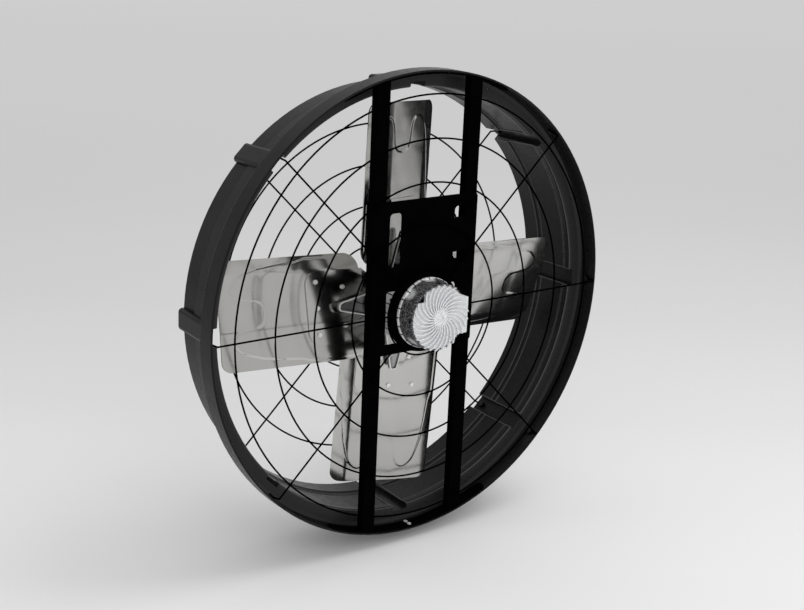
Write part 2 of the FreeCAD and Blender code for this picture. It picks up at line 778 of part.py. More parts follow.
body = cap_plate("cap_blank", "cap_radius - 5", "2", "2")
box = new_sketch(body, "XZ_Plane")
outline(box, [
    ("box_start - 8", "-box_bottom + 1"),
    ("box_side - 1", "-box_bottom + 1"),
    ("box_side - 1", "box_top - 18"),
    ("box_start", "box_top - 1"),
    ("box_start - 8", "box_top - 1"),
])
pad(body, box, "box_depth", back=True)
hollow = new_sketch(body, "XY_Plane")
outline(hollow, [
    ("0", "0"),
    ("can_front_radius + fit", "0"),
    ("can_radius + fit", "cap_face - can_rim - 4"),
    ("can_radius + fit", "box_depth + 2"),
    ("0", "box_depth + 2"),
])
groove(body, hollow)
boss = new_sketch(body, "XY_Plane")
outline(boss, [
    ("bearing_outer + fit", "-1"),
    ("bearing_outer + 6", "-1"),
    ("bearing_outer + 5", "bearing_width + 2"),
    ("bearing_outer + fit", "bearing_width + 2"),
])
revolve(body, boss)
spigot_radius = "can_front_radius - can_wall - fit"
spigot = new_sketch(body, "XY_Plane")
outline(spigot, [
    (spigot_radius + " - 4", "-1"),
    (spigot_radius, "-1"),
    (spigot_radius, "10"),
    (spigot_radius + " - 4", "10"),
])
revolve(body, spigot)
cap_base = body

fins = new_body("cap_fins", "-collar_depth - cap_face")
middle = new_sketch(fins, "XZ_Plane", "2")
circle(middle, "cap_radius * 0.2")
pad(fins, middle, "fin_height * 0.45")
fin = new_sketch(fins, "XZ_Plane", "2")


def fin_side(side):
    """Formulas for the corners of one side of a spiral fin, from the middle outward."""
    points = []
    for step in range(7):
        reach = "(cap_radius * %.2f)" % (0.12 + 0.155 * step)
        turn = "(%s * 0.5 * fin_width / %s * 57.3 - fin_sweep * %.2f)" % (
            side, reach, (step / 6) ** 1.2)
        points.append(("%s * cos(%s)" % (reach, turn), "%s * sin(%s)" % (reach, turn)))
    return points


outline(fin, fin_side("1") + list(reversed(fin_side("-1"))))
fin_pad = pad(fins, fin, "fin_height - 2")
polar(fins, fin, [fin_pad], "fin_count", "N_Axis")
cap_trim = cap_plate("cap_trim", "cap_radius", "fin_height + 1", "fin_height")
fin_field = doc.addObject("Part::Common", "cap_fin_field")
fin_field.Base = fins
fin_field.Tool = cap_trim
cap_screw_angles = (90, 180, 270)
drills = []
for across, up in (("-cap_radius - 28.5", "cap_radius * 0.54"),
                   ("-cap_radius - 38", "-cap_radius * 0.6 - 40")):
    bite = doc.addObject("Part::Box", "cap_bite")
    tie(bite, "Length", "cap_radius * 0.3 + 40")
    tie(bite, "Width", "fin_height + 20")
    tie(bite, "Height", "40")
    place(bite, across, "-collar_depth - cap_face - fin_height - 18.5", up,
          FreeCAD.Rotation())
    drills.append(bite)
for angle in cap_screw_angles:
    spot = at_radius(spigot_radius + " - 10", angle)
    drill = rod("2.3", "30", "cap_drill")
    place(drill, spot[0], "-collar_depth - cap_face + 6", spot[1], towards(radial(angle)))
    drills.append(drill)
drilled("motor_end_cap", join([cap_base, fin_field], "cap_whole"), drills)
screws = []
for angle in cap_screw_angles:
    spot = at_radius("can_radius - 2.2", angle)
    screws.append(fastener((spot[0], "-collar_depth - cap_face + 6", spot[1]),
                           towards(radial(angle)), "4.5", "2", "2", "9"))
gather("cap_screws", screws)

# Bearings, cores and windings.
for label, along in (("bearing_front", "-collar_depth - cap_face + 1"),
                     ("bearing_rear", "-collar_depth + rear_shell_depth - bearing_width - 2")):
    body = turned(label, [
        ("shaft_radius + running_fit", "0"),
        ("bearing_outer", "0"),
        ("bearing_outer", "bearing_width"),
        ("shaft_radius + running_fit", "bearing_width"),
    ], along)
    keep(body, label)
core_start = "-collar_depth + 6"
keep(turned("stator_core", [
    ("stator_bore", "0"),
    ("rear_shell_radius - can_wall - fit", "0"),
    ("rear_shell_radius - can_wall - fit", "core_length"),
    ("stator_bore", "core_length"),
], core_start), "stator_core")
coils = []
for along in ("-collar_depth - 8", "-collar_depth + 6 + core_length"):
    coils.append(turned("coil", [
        ("stator_bore + 5", "0"),
        ("stator_bore + 23", "0"),
        ("stator_bore + 23", "14"),
        ("stator_bore + 5", "14"),
    ], along))
gather("stator_windings", coils)
keep(turned("rotor_core", [
    ("shaft_radius + fit", "0"),
    ("rotor_radius", "0"),
    ("rotor_radius", "core_length"),
    ("shaft_radius + fit", "core_length"),
], core_start), "rotor_core")
shaft_blank = turned("shaft_blank", [
    ("0", "-cap_face + 2"),
    ("shaft_radius - 1", "-cap_face + 2"),
    ("shaft_radius", "-cap_face + 4"),
    ("shaft_radius", "hub_face + 40"),
    ("5", "hub_face + 40"),
    ("5", "hub_face + 14"),
    ("0", "hub_face + 12"),
], "-collar_depth")


def key_block(label, gap):
    """Make the key between shaft and hub boss, or its slots when gap is not zero."""
    block = doc.addObject("Part::Box", label)
    tie(block, "Length", "key_width + 2 * %s" % gap)
    tie(block, "Width", "key_length + 2 * %s" % gap)
    tie(block, "Height", "key_width + 2 * %s" % gap)
    tie(block, "Placement.Base.x", "-key_width / 2 - %s" % gap)
    tie(block, "Placement.Base.y", "hub_face - collar_depth + 6 - %s" % gap)
    tie(block, "Placement.Base.z", "shaft_radius - key_width / 2 - %s" % gap)
    return block


keep(key_block("shaft_key", "0"), "shaft_key")
drilled("motor_shaft", shaft_blank, [key_block("shaft_slot", "0.1")])

# Hub: pressed star with turned edges, boss on the shaft, end screw and washer.
LAG = FreeCAD.Rotation(FreeCAD.Vector(0, 1, 0), size("blade_lag"))


def star_points(inset):
    """Corners of the four-armed star, drawn in by a margin."""
    arm = [
        ("(star_tip - %s)" % inset, "-(star_tip_width / 2 - %s)" % inset),
        ("(star_tip - %s)" % inset, "(star_tip_width / 2 - %s)" % inset),
        ("(star_root - %s)" % inset, "(star_root - %s)" % inset),
    ]
    points = []
    for quarter in range(4):
        for across, up in arm:
            turned_point = [(across, up), ("-" + up, across), ("-" + across, "-" + up),
                            (up, "-" + across)][quarter]
            points.append(tuple(text.replace("--", "") for text in turned_point))
    return points


body = new_body("star_blank", "-collar_depth + hub_face + star_wall")
sketch = new_sketch(body, "XZ_Plane")
outline(sketch, star_points("0"))
star_pad = pad(body, sketch, "star_depth")


def arm_end(edge):
    """A corner at the end of an arm of the star."""
    middle = edge.BoundBox.Center
    reach = math.hypot(middle.x, middle.z)
    return straight_along(edge, BACK) and reach > size("star_tip") - 1


round_edges(body, star_pad, arm_end, "star_tip_width / 2 - 2")
sketch = new_sketch(body, "XZ_Plane", "star_depth")
outline(sketch, star_points("star_wall"))
hollow_cut = pocket(body, sketch, "star_depth - star_wall")


def inner_arm_end(edge):
    """A corner inside the turned edge at the end of an arm."""
    middle = edge.BoundBox.Center
    reach = max(abs(middle.x), abs(middle.z))
    return straight_along(edge, BACK) and abs(reach - size("star_tip - star_wall")) < 0.01


round_edges(body, hollow_cut, inner_arm_end, "star_tip_width / 2 - star_wall - 2")
body.Placement = FreeCAD.Placement(FreeCAD.Vector(0, 0, 0), LAG)
drills = [rod("shaft_radius + 6 + fit", "40", "shaft_drill")]
place(drills[0], "0", "-collar_depth + hub_face - 20", "0", TO_BACK)
hub_bolt_angles = [45 + 90 * step for step in range(4)]
for angle in hub_bolt_angles:
    spot = at_radius("boss_radius - 14", "%g" % angle)
    drill = rod("5.3", "40", "bolt_drill")
    place(drill, spot[0], "-collar_depth + hub_face - 20", spot[1], TO_BACK)
    drills.append(drill)
drilled("hub_star", body, drills)

body = turned("hub_boss_blank", [
    ("shaft_radius + fit", "-8 + star_wall"),
    ("shaft_radius + 6", "-8 + star_wall"),
    ("shaft_radius + 6", "star_wall"),
    ("boss_radius", "star_wall"),
    ("boss_radius", "carrier_face - hub_face"),
    ("shaft_radius + 10", "carrier_face - hub_face"),
    ("shaft_radius + 10", "40"),
    ("shaft_radius + fit", "40"),
], "-collar_depth + hub_face")
drills = []
for angle in hub_bolt_angles:
    spot = at_radius("boss_radius - 14", "%g" % angle)
    drill = rod("5.3", "60", "bolt_drill")
    place(drill, spot[0], "-collar_depth + hub_face - 20", spot[1], TO_BACK)
    drills.append(drill)
drills.append(key_block("boss_slot", "0.1"))
drilled("hub_boss", body, drills)

# Blade carrier: flat disc behind the star with four twisted arms that lie on the
# fronts of the blades.
TILT = FreeCAD.Rotation(FreeCAD.Vector(1, 0, 0), -size("blade_cone"))
PITCH = FreeCAD.Rotation(FreeCAD.Vector(0, 0, 1), size("blade_pitch"))
lead_slope = "blade_camber / (blade_chord / 2 - blade_flat_front)"
trail_slope = "blade_camber / (blade_chord / 2 - blade_flat_back)"


def set_as_blade(thing, angle, inner=None):
    """Carry a piece from the frame of a blade to its place round the hub.

    In the frame of a blade X runs from the front edge of the blade to its back edge,
    Y to the back of the blade and Z outward along its middle.
    """
    swing = FreeCAD.Rotation(FreeCAD.Vector(0, 1, 0), 90 - angle + size("blade_lag"))
    middle = FreeCAD.Vector(-size("blade_offset"), size("blade_middle - collar_depth"), 0)
    turn = swing.multiply(TILT).multiply(PITCH)
    outer = FreeCAD.Placement(swing.multVec(middle), turn)
    thing.Placement = outer.multiply(inner) if inner else outer


def in_blade_frame(across, along):
    """Formulas in the frame of a blade for a place given across and along the fan."""
    shifted = "(%s + blade_offset)" % across
    return ("%s * cos(blade_pitch) + (%s) * sin(blade_pitch)" % (shifted, along),
            "(%s) * cos(blade_pitch) - %s * sin(blade_pitch)" % (along, shifted))


def sheet_section(half, rise, thickness):
    """Corners of the bent sheet of a blade or of the arm in front of it."""
    face = [
        ("-(%s)" % half, "(%s - blade_flat_front) * %s - (%s)" % (half, lead_slope, rise)),
        ("-blade_flat_front", "-(%s)" % rise),
    ]
    if size(half) > size("blade_flat_back"):
        face.append(("blade_flat_back", "-(%s)" % rise))
        face.append((half, "(%s - blade_flat_back) * %s - (%s)" % (half, trail_slope, rise)))
    else:
        face.append((half, "-(%s)" % rise))
    rear = [(across, "%s + %s" % (up, thickness)) for across, up in reversed(face)]
    return face + rear


arm_half = "carrier_width / 2"
arm_rise = "blade_camber + emboss_height + carrier_sheet"
arm_front = "carrier_face - blade_middle"
arm_back = arm_front + " + carrier_sheet"
arm_start = "blade_root - 6"
root_half = "0.45 * carrier_disc"


def far_corner(reach, short):
    """Make a test for the short edges at the far end of a sheet."""
    def test(edge):
        return edge.Length < size(short) + 1 and edge.BoundBox.Center.z > size(reach) - 1
    return test


BLADE_BOLTS = ((260, 0), (260, 73), (260, -73), (174, 54), (174, -54))


def blade_seats():
    """Places of the blade bolts in the frame of a blade, +Z away from the sheet."""
    seats = []
    slant = math.degrees(math.atan(size(lead_slope)))
    for reach, chord in BLADE_BOLTS:
        over = max(0, chord - size("blade_flat_front"))
        height = over * size(lead_slope) - size(arm_rise)
        lean = FreeCAD.Rotation(FreeCAD.Vector(0, 0, 1), -slant if over else 0)
        seats.append(FreeCAD.Placement(FreeCAD.Vector(-chord, height, reach),
                                       lean.multiply(TO_FRONT)))
    return seats


def blade_drills(angle, radius):
    """Drills for the bolts between a blade and its arm."""
    drills = []
    for seat in blade_seats():
        drill = rod(radius, "80", "blade_drill")
        set_as_blade(drill, angle, seat.multiply(
            FreeCAD.Placement(FreeCAD.Vector(0, 0, -40), FreeCAD.Rotation())))
        drills.append(drill)
    return drills


pieces = []
drills = []
for step in range(4):
    body = new_body("carrier_arm")
    outer = new_sketch(body, "XY_Plane", arm_start)
    outline(outer, sheet_section(arm_half, arm_rise, "carrier_sheet"))
    outer_pad = pad(body, outer, "carrier_reach - (%s)" % arm_start)
    round_edges(body, outer_pad, far_corner("carrier_reach", "carrier_sheet"), "40")
    root = new_sketch(body, "XY_Plane", "0.55 * carrier_disc")
    outline(root, [
        in_blade_frame("-" + root_half, arm_front),
        in_blade_frame("-0.4 * " + root_half, arm_front),
        in_blade_frame(root_half, arm_front),
        in_blade_frame(root_half, arm_back),
        in_blade_frame("-0.4 * " + root_half, arm_back),
        in_blade_frame("-" + root_half, arm_back),
    ])
    twist = body.newObject("PartDesign::AdditiveLoft", "arm_twist")
    twist.Profile = outer
    twist.Sections = [(root, [""])]
    twist.Ruled = True
    doc.recompute()
    set_as_blade(body, 90 * step)
    pieces.append(body)
    drills.extend(blade_drills(90 * step, "4.3"))
pieces.append(turned("carrier_disc_blank", [
    ("shaft_radius + fit + 10", "carrier_face"),
    ("0.75 * carrier_disc", "carrier_face"),
    ("0.75 * carrier_disc", "carrier_face + carrier_sheet"),
    ("shaft_radius + fit + 10", "carrier_face + carrier_sheet"),
], "-collar_depth"))
for angle in hub_bolt_angles:
    spot = at_radius("boss_radius - 14", "%g" % angle)
    drill = rod("5.3", "60", "bolt_drill")
    place(drill, spot[0], "-collar_depth + hub_face", spot[1], TO_BACK)
    drills.append(drill)
drilled("blade_carrier", join(pieces, "carrier_blank"), drills)

# Blades: bent sheet with a raised panel that ends in two lobes.
LOBES = [("284", "140"), ("317", "132"), ("380", "127"), ("434", "120"), ("475", "109"),
         ("505", "96"), ("519", "74"), ("512", "52"), ("496", "40"), ("450", "36"),
         ("428", "24"), ("421", "0")]


def lobe_points():
    """Corners of the raised panel, from the root along one side and back."""
    side = [("-" + chord, reach) for reach, chord in LOBES]
    other = [(chord, reach) for reach, chord in reversed(LOBES[:-1])]
    return [("-140", "blade_root - 20")] + side + other + [("140", "blade_root - 20")]


def blade_sheet(rise):
    """Make the bent sheet of a blade."""
    body = new_body("blade_sheet_blank")
    sketch = new_sketch(body, "XY_Plane", "blade_root - 5")
    outline(sketch, sheet_section("blade_chord / 2", rise, "blade_sheet"))
    pad(body, sketch, "blade_tip - blade_root + 10")
    return body


def blade_trim():
    """Make a block with the rounded outline of a blade."""
    body = new_body("blade_trim")
    sketch = new_sketch(body, "XZ_Plane")
    outline(sketch, [
        ("-blade_chord / 2", "blade_root"),
        ("blade_chord / 2", "blade_root"),
        ("blade_chord / 2", "blade_tip"),
        ("-blade_chord / 2", "blade_tip"),
    ])
    block = pad(body, sketch, "80", both=True)

    def tip_corner(edge):
        """A corner at the tip of the blade."""
        return straight_along(edge, BACK) and edge.BoundBox.Center.z > size("blade_tip") - 1

    def root_corner(edge):
        """A corner at the root of the blade."""
        return straight_along(edge, BACK) and edge.BoundBox.Center.z < size("blade_root") + 1

    tips = round_edges(body, block, tip_corner, "blade_corner")
    round_edges(body, tips, root_corner, "blade_corner + 15")
    return body


def make_blade(label, angle):
    """Make one blade at its angle round the hub."""
    panel = new_body("blade_panel")
    sketch = new_sketch(panel, "XZ_Plane")
    outline(sketch, lobe_points())
    pad(panel, sketch, "80", both=True)
    flat = doc.addObject("Part::Cut", "blade_flat")
    flat.Base = blade_sheet("blade_camber")
    flat.Tool = panel
    raised = doc.addObject("Part::Common", "blade_raised")
    raised.Base = blade_sheet("blade_camber + emboss_height")
    raised.Tool = panel
    whole = doc.addObject("Part::Common", "blade_whole")
    whole.Base = join([flat, raised], "blade_untrimmed")
    whole.Tool = blade_trim()
    set_as_blade(whole, angle)
    return drilled(label, whole, blade_drills(angle, "4.3"))


make_blade("blade_right", 0)
make_blade("blade_top", 90)
make_blade("blade_left", 180)
make_blade("blade_bottom", 270)

bolts = []
nuts = []
for step in range(4):
    for seat in blade_seats():
        bolt = fastener(None, None, "6.5", "4", "4", "blade_sheet + carrier_sheet + 9",
                        sides=6)
        set_as_blade(bolt, 90 * step, seat)
        bolts.append(bolt)
    for seat in blade_seats():
        depth = -size("blade_sheet + carrier_sheet")
        piece = nut(None, None, "7", "4.3", "6")
        under = FreeCAD.Placement(FreeCAD.Vector(0, 0, depth),
                                  FreeCAD.Rotation(FreeCAD.Vector(1, 0, 0), 180))
        set_as_blade(piece, 90 * step, seat.multiply(under))
        nuts.append(piece)
gather("blade_bolts", bolts)
gather("blade_nuts", nuts)

# Hub bolts through star, boss and carrier, key and end screw of the shaft.
bolts = []
nuts = []
for angle in hub_bolt_angles:
    spot = at_radius("boss_radius - 14", "%g" % angle)
    bolts.append(fastener((spot[0], "-collar_depth + hub_face", spot[1]), TO_FRONT,
                          "8", "5", "5", "carrier_face + carrier_sheet - hub_face + 11",
                          sides=6))
    nuts.append(nut((spot[0], "-collar_depth + carrier_face + carrier_sheet", spot[1]),
                    TO_BACK, "8.5", "5.3", "7"))
gather("hub_bolts", bolts)
gather("hub_nuts", nuts)
shaft_end = "-collar_depth + hub_face + 40"
keep(fastener(("0", shaft_end, "0"), TO_BACK, "24", "4", "4.7", "24"), "hub_end_screw")

# Guards: rings and spokes of round wire, each spoke ending in an eyelet.


def guard(label, rings, ring_plane, spoke_plane, reach, leg, eye):
    """Make a wire guard.

    Args:
        label: name of the guard.
        rings: number of rings.
        ring_plane: place of the rings along the axis.
        spoke_plane: place of the spokes along the axis.
        reach: radius at which the spokes end.
        leg: radius of the eyelets.
        eye: place of the middle of the eyelets along the axis.
    """
    wires = []
    for step in range(rings):
        ring = doc.addObject("Part::Torus", "guard_ring")
        tie(ring, "Radius1", "guard_first + %d * guard_pitch" % step)
        tie(ring, "Radius2", "wire_radius")
        place(ring, "0", ring_plane, "0", TO_BACK)
        wires.append(ring)
    side = 1 if size(eye) > size(spoke_plane) else -1
    for angle in GUARD_ANGLES:
        start = at_radius("guard_first - wire_radius", angle)
        end = at_radius(reach, angle)
        foot = at_radius(leg, angle)
        edge = "%s - %d * eyelet_radius" % (eye, side)
        spoke = rod("wire_radius", "%s - guard_first + wire_radius" % reach, "spoke")
        place(spoke, start[0], spoke_plane, start[1], towards(radial(angle)))
        wires.append(spoke)
        corner = doc.addObject("Part::Sphere", "spoke_corner")
        tie(corner, "Radius", "wire_radius")
        place(corner, end[0], spoke_plane, end[1], FreeCAD.Rotation())
        wires.append(corner)
        span = (size(leg) - size(reach), size(edge) - size(spoke_plane))
        lean = radial(angle) * span[0] + BACK * span[1]
        bend = rod("wire_radius", "sqrt((%s - (%s)) ^ 2 + (%s - (%s)) ^ 2)"
                   % (leg, reach, edge, spoke_plane), "spoke_leg")
        place(bend, end[0], spoke_plane, end[1], towards(lean))
        wires.append(bend)
        loop = doc.addObject("Part::Torus", "eyelet")
        tie(loop, "Radius1", "eyelet_radius")
        tie(loop, "Radius2", "wire_radius")
        place(loop, foot[0], eye, foot[1], towards(radial(angle)))
        wires.append(loop)
    return keep(join(wires, label), label)


def guard_screws(label, radius, along, length):
    """Make the screws that hold the eyelets of a guard, heads on the inside."""
    screws = []
    for angle in GUARD_ANGLES:
        spot = at_radius(radius, angle)
        screws.append(fastener((spot[0], along, spot[1]), towards(radial(angle + 180)),
                               "8.5", "3", "2.5", length))
    gather(label, screws)


front_rings = "-collar_depth - front_guard_plane"
front_leg = "outer_radius - collar_wall - wire_radius - fit"
guard("front_guard", 5, front_rings, front_rings + " + 2 * wire_radius - guard_lap",
      "%s - 6" % front_leg, front_leg, "front_eyelet - collar_depth")
guard_screws("front_guard_screws", "%s - wire_radius - fit" % front_leg,
             "front_eyelet - collar_depth", "2 * wire_radius + collar_wall - 1.5")
rear_rings = "rear_depth + rear_guard_plane"
rear_leg = "lug_rear_radius - wire_radius - fit"
guard("rear_guard", 4, rear_rings, rear_rings + " - 2 * wire_radius + guard_lap",
      "%s - 6" % rear_leg, rear_leg, "rear_depth - rear_eyelet")
guard_screws("rear_guard_screws", "%s - wire_radius - fit" % rear_leg,
             "rear_depth - rear_eyelet", "2 * wire_radius + ring_wall - 0.5")

# Check every object and write one file for each piece.
doc.recompute()
broken = [item.Label for item in doc.Objects
          if "Invalid" in item.State or "Error" in item.State]
if broken:
    raise ValueError("did not rebuild: " + ", ".join(broken))
os.makedirs("parts", exist_ok=True)
for piece in PARTS:
    if piece.Shape.isNull() or not piece.Shape.isValid():
        raise ValueError("bad shape: " + piece.Label)
    piece.Shape.exportStep("parts/%s.step" % piece.Label)
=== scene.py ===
"""Looks of an axial wall fan: finishes of every piece, pressed blades, studio and camera."""
import logging
import math
from dataclasses import dataclass, field
from enum import Enum

import bpy
from mathutils import Matrix, Vector


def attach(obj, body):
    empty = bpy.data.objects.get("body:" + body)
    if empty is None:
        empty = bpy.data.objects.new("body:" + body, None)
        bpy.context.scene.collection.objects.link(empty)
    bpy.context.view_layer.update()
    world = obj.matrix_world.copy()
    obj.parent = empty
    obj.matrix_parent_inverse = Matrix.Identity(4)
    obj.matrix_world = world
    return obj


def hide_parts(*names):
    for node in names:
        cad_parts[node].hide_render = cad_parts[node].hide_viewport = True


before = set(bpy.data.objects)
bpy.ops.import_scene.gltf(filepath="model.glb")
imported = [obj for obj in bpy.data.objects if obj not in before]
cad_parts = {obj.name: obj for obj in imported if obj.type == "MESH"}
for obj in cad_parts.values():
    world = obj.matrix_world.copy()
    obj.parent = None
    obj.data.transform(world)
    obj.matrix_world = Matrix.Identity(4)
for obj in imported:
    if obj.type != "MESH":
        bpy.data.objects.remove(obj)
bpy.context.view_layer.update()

logging.basicConfig(level=logging.INFO, format="%(message)s")
LOG = logging.getLogger("axial_wall_fan")

MM = 0.001
PATTERN_LOW = 0.3
PATTERN_HIGH = 0.7
Triple = tuple[float, float, float]
Colour = Triple
Output = bpy.types.NodeSocket


class Body(Enum):
    """Rigid bodies of the fan."""

    HOUSING = "housing"
    PROPELLER = "propeller"


class Graph:
    """Small helper that adds and joins the nodes of one material."""

    def __init__(self, name: str) -> None:
        """Start an empty material.

        Args:
            name: name of the material.
        """
        self.material = bpy.data.materials.new(name)
        self.material.use_nodes = True
        self.tree = self.material.node_tree
        self.shader = self.tree.nodes["Principled BSDF"]
        self.place = self.tree.nodes.new("ShaderNodeTexCoord").outputs["Object"]
        self.patterns: dict[tuple, Output] = {}

    def node(self, kind: str, links: dict | None = None, values: dict | None = None,
             **settings: object) -> bpy.types.Node:
        """Add a node.

        Args:
            kind: type of the node.
            links: socket names of the node and the outputs that feed them.
            values: socket names of the node and their constant values.
            settings: other properties of the node.

        Returns:
            The new node.
        """
        item = self.tree.nodes.new(kind)
        for key, value in settings.items():
            setattr(item, key, value)
        for key, value in (values or {}).items():
            item.inputs[key].default_value = value
        for key, output in (links or {}).items():
            self.tree.links.new(output, item.inputs[key])
        return item

    def noise(self, scale: float, detail: float = 4.0,
              stretch: Triple = (1, 1, 1)) -> Output:
        """Return a noise pattern in object space, made on first use.

        Args:
            scale: pattern size, larger is finer.
            detail: number of finer layers.
            stretch: scale of the pattern along each axis.

        Returns:
            The output that holds the pattern.
        """
        key = (scale, detail, stretch)
        if key not in self.patterns:
            mapping = self.node("ShaderNodeMapping", {"Vector": self.place},
                                {"Scale": stretch})
            item = self.node("ShaderNodeTexNoise", {"Vector": mapping.outputs["Vector"]},
                             {"Scale": scale, "Detail": detail})
            self.patterns[key] = item.outputs["Fac"]
        return self.patterns[key]

    def axis(self, letter: str) -> Output:
        """Return the place along the axis X, Y or Z."""
        apart = self.node("ShaderNodeSeparateXYZ", {"Vector": self.place})
        return apart.outputs[letter]

    def radius(self) -> Output:
        """Return the distance from the fan's axis."""
        return self.distance((0, 0, 0), (1, 0, 1))

    def ramp(self, source: Output, stops: list[tuple[float, Colour]]) -> Output:
        """Turn a value into a colour.

        Args:
            source: output that holds the value.
            stops: places on the ramp with their colours.

        Returns:
            The output that holds the colour.
        """
        item = self.node("ShaderNodeValToRGB", {"Fac": source})
        ramp = item.color_ramp
        while len(ramp.elements) < len(stops):
            ramp.elements.new(0.5)
        for element, (place, colour) in zip(ramp.elements, stops):
            element.position = place
            element.color = (*colour, 1)
        return item.outputs["Color"]

    def span(self, source: Output, low: float, high: float) -> Output:
        """Map a pattern to a range of numbers.

        Args:
            source: output that holds the pattern.
            low: result where the pattern is low.
            high: result where the pattern is high.

        Returns:
            The output that holds the result.
        """
        item = self.node("ShaderNodeMapRange", {"Value": source},
                         {"From Min": PATTERN_LOW, "From Max": PATTERN_HIGH,
                          "To Min": low, "To Max": high})
        return item.outputs["Result"]

    def math(self, kind: str, first: Output | float, second: Output | float = 0.0) -> Output:
        """Add a sum on one or two values.

        Args:
            kind: name of the operation.
            first: output or number of the first value.
            second: output or number of the second value.

        Returns:
            The output that holds the result.
        """
        links, values = {}, {}
        for place, item in enumerate((first, second)):
            (links if isinstance(item, Output) else values)[place] = item
        return self.node("ShaderNodeMath", links, values, operation=kind).outputs[0]

    def times(self, first: Output | float, second: Output | float) -> Output:
        """Multiply two values."""
        return self.math("MULTIPLY", first, second)

    def within(self, source: Output, low: float, high: float) -> Output:
        """Return 1 where a value lies between two limits, and 0 elsewhere."""
        return self.times(self.math("GREATER_THAN", source, low),
                          self.math("LESS_THAN", source, high))

    def off_spoke(self, count: int) -> Output:
        """Measure how far a place is from the nearest of evenly spaced spokes.

        Args:
            count: number of spokes round the axis, the first along X.

        Returns:
            The output that holds the angle, as a share of one spacing.
        """
        angle = self.math("ARCTAN2", self.axis("Z"), self.axis("X"))
        turns = self.math("ADD", self.times(angle, count / math.tau), 0.5)
        return self.math("ABSOLUTE", self.math("SUBTRACT", self.math("FRACT", turns), 0.5))

    def fade(self, source: Output, start: float, end: float) -> Output:
        """Map a value to 1 at start, 0 at end and a slope between them.

        Args:
            source: output that holds the value.
            start: value that gives 1.
            end: value that gives 0.

        Returns:
            The output that holds the share.
        """
        item = self.node("ShaderNodeMapRange", {"Value": source},
                         {"From Min": start, "From Max": end, "To Min": 1.0, "To Max": 0.0})
        return item.outputs["Result"]

    def distance(self, spot: Triple, reach: Triple = (1, 1, 1)) -> Output:
        """Distance from a spot, with each axis scaled.

        Args:
            spot: the spot in metres.
            reach: factor of each axis.

        Returns:
            The output that holds the distance.
        """
        away = self.node("ShaderNodeVectorMath", {0: self.place}, {1: spot},
                         operation="SUBTRACT").outputs["Vector"]
        scaled = self.node("ShaderNodeVectorMath", {0: away}, {1: reach},
                           operation="MULTIPLY").outputs["Vector"]
        item = self.node("ShaderNodeVectorMath", {0: scaled}, operation="LENGTH")
        return item.outputs["Value"]

    def blend(self, share: Output, below: Output, above: Colour) -> Output:
        """Blend two colours.

        Args:
            share: output that holds the share of the second colour.
            below: output that holds the first colour.
            above: the second colour.

        Returns:
            The output that holds the blend.
        """
        item = self.node("ShaderNodeMix", {"Factor": share, 6: below}, {7: (*above, 1)},
                         data_type="RGBA")
        return item.outputs[2]

    def bump(self, height: Output, strength: float, distance: float) -> None:
        """Raise the surface by a pattern.

        Args:
            height: output that holds the pattern.
            strength: share of the effect.
            distance: depth of the pattern in metres.
        """
        item = self.node("ShaderNodeBump", {"Height": height},
                         {"Strength": strength, "Distance": distance})
        self.feed("Normal", item.outputs["Normal"])

    def feed(self, socket: str, output: Output) -> None:
        """Join an output to a socket of the shader."""
        self.tree.links.new(output, self.shader.inputs[socket])

    def set(self, **values: float) -> None:
        """Set constant sockets of the shader, with underscores for spaces."""
        for key, value in values.items():
            self.shader.inputs[key.replace("_", " ")].default_value = value


@dataclass(frozen=True)
class Finish:
    """A surface with slight changes of colour and gloss."""

    name: str
    slot: str
    dark: Colour
    light: Colour
    gloss: tuple[float, float] = (0.4, 0.5)
    metallic: float = 0.0
    specular: float = 0.5
    scale: float = 18.0
    grain: float = 900.0
    detail: float = 2.0
    relief: float = 0.5
    depth: float = 0.00003

    def material(self) -> bpy.types.Material:
        """Return the material, made on first use."""
        name = "finish_" + self.name
        found = bpy.data.materials.get(name)
        if found:
            return found
        graph = Graph(name)
        self.paint(graph)
        return graph.material

    def skin(self, graph: Graph) -> Output:
        """Return the colour, a cloudy mix of dark and light."""
        return graph.ramp(graph.noise(self.scale), [
            (PATTERN_LOW, self.dark), (PATTERN_HIGH, self.light)])

    def sheen(self, graph: Graph) -> Output:
        """Return the roughness, which changes on a finer scale than the colour."""
        return graph.span(graph.noise(self.scale * 3), *self.gloss)

    def texture(self, graph: Graph) -> Output:
        """Return the fine relief."""
        return graph.noise(self.grain, self.detail)

    def paint(self, graph: Graph) -> None:
        """Fill the material.

        Args:
            graph: the material's nodes.
        """
        graph.set(Metallic=self.metallic, Specular_IOR_Level=self.specular)
        graph.feed("Base Color", self.skin(graph))
        graph.feed("Roughness", self.sheen(graph))
        graph.bump(self.texture(graph), self.relief, self.depth)


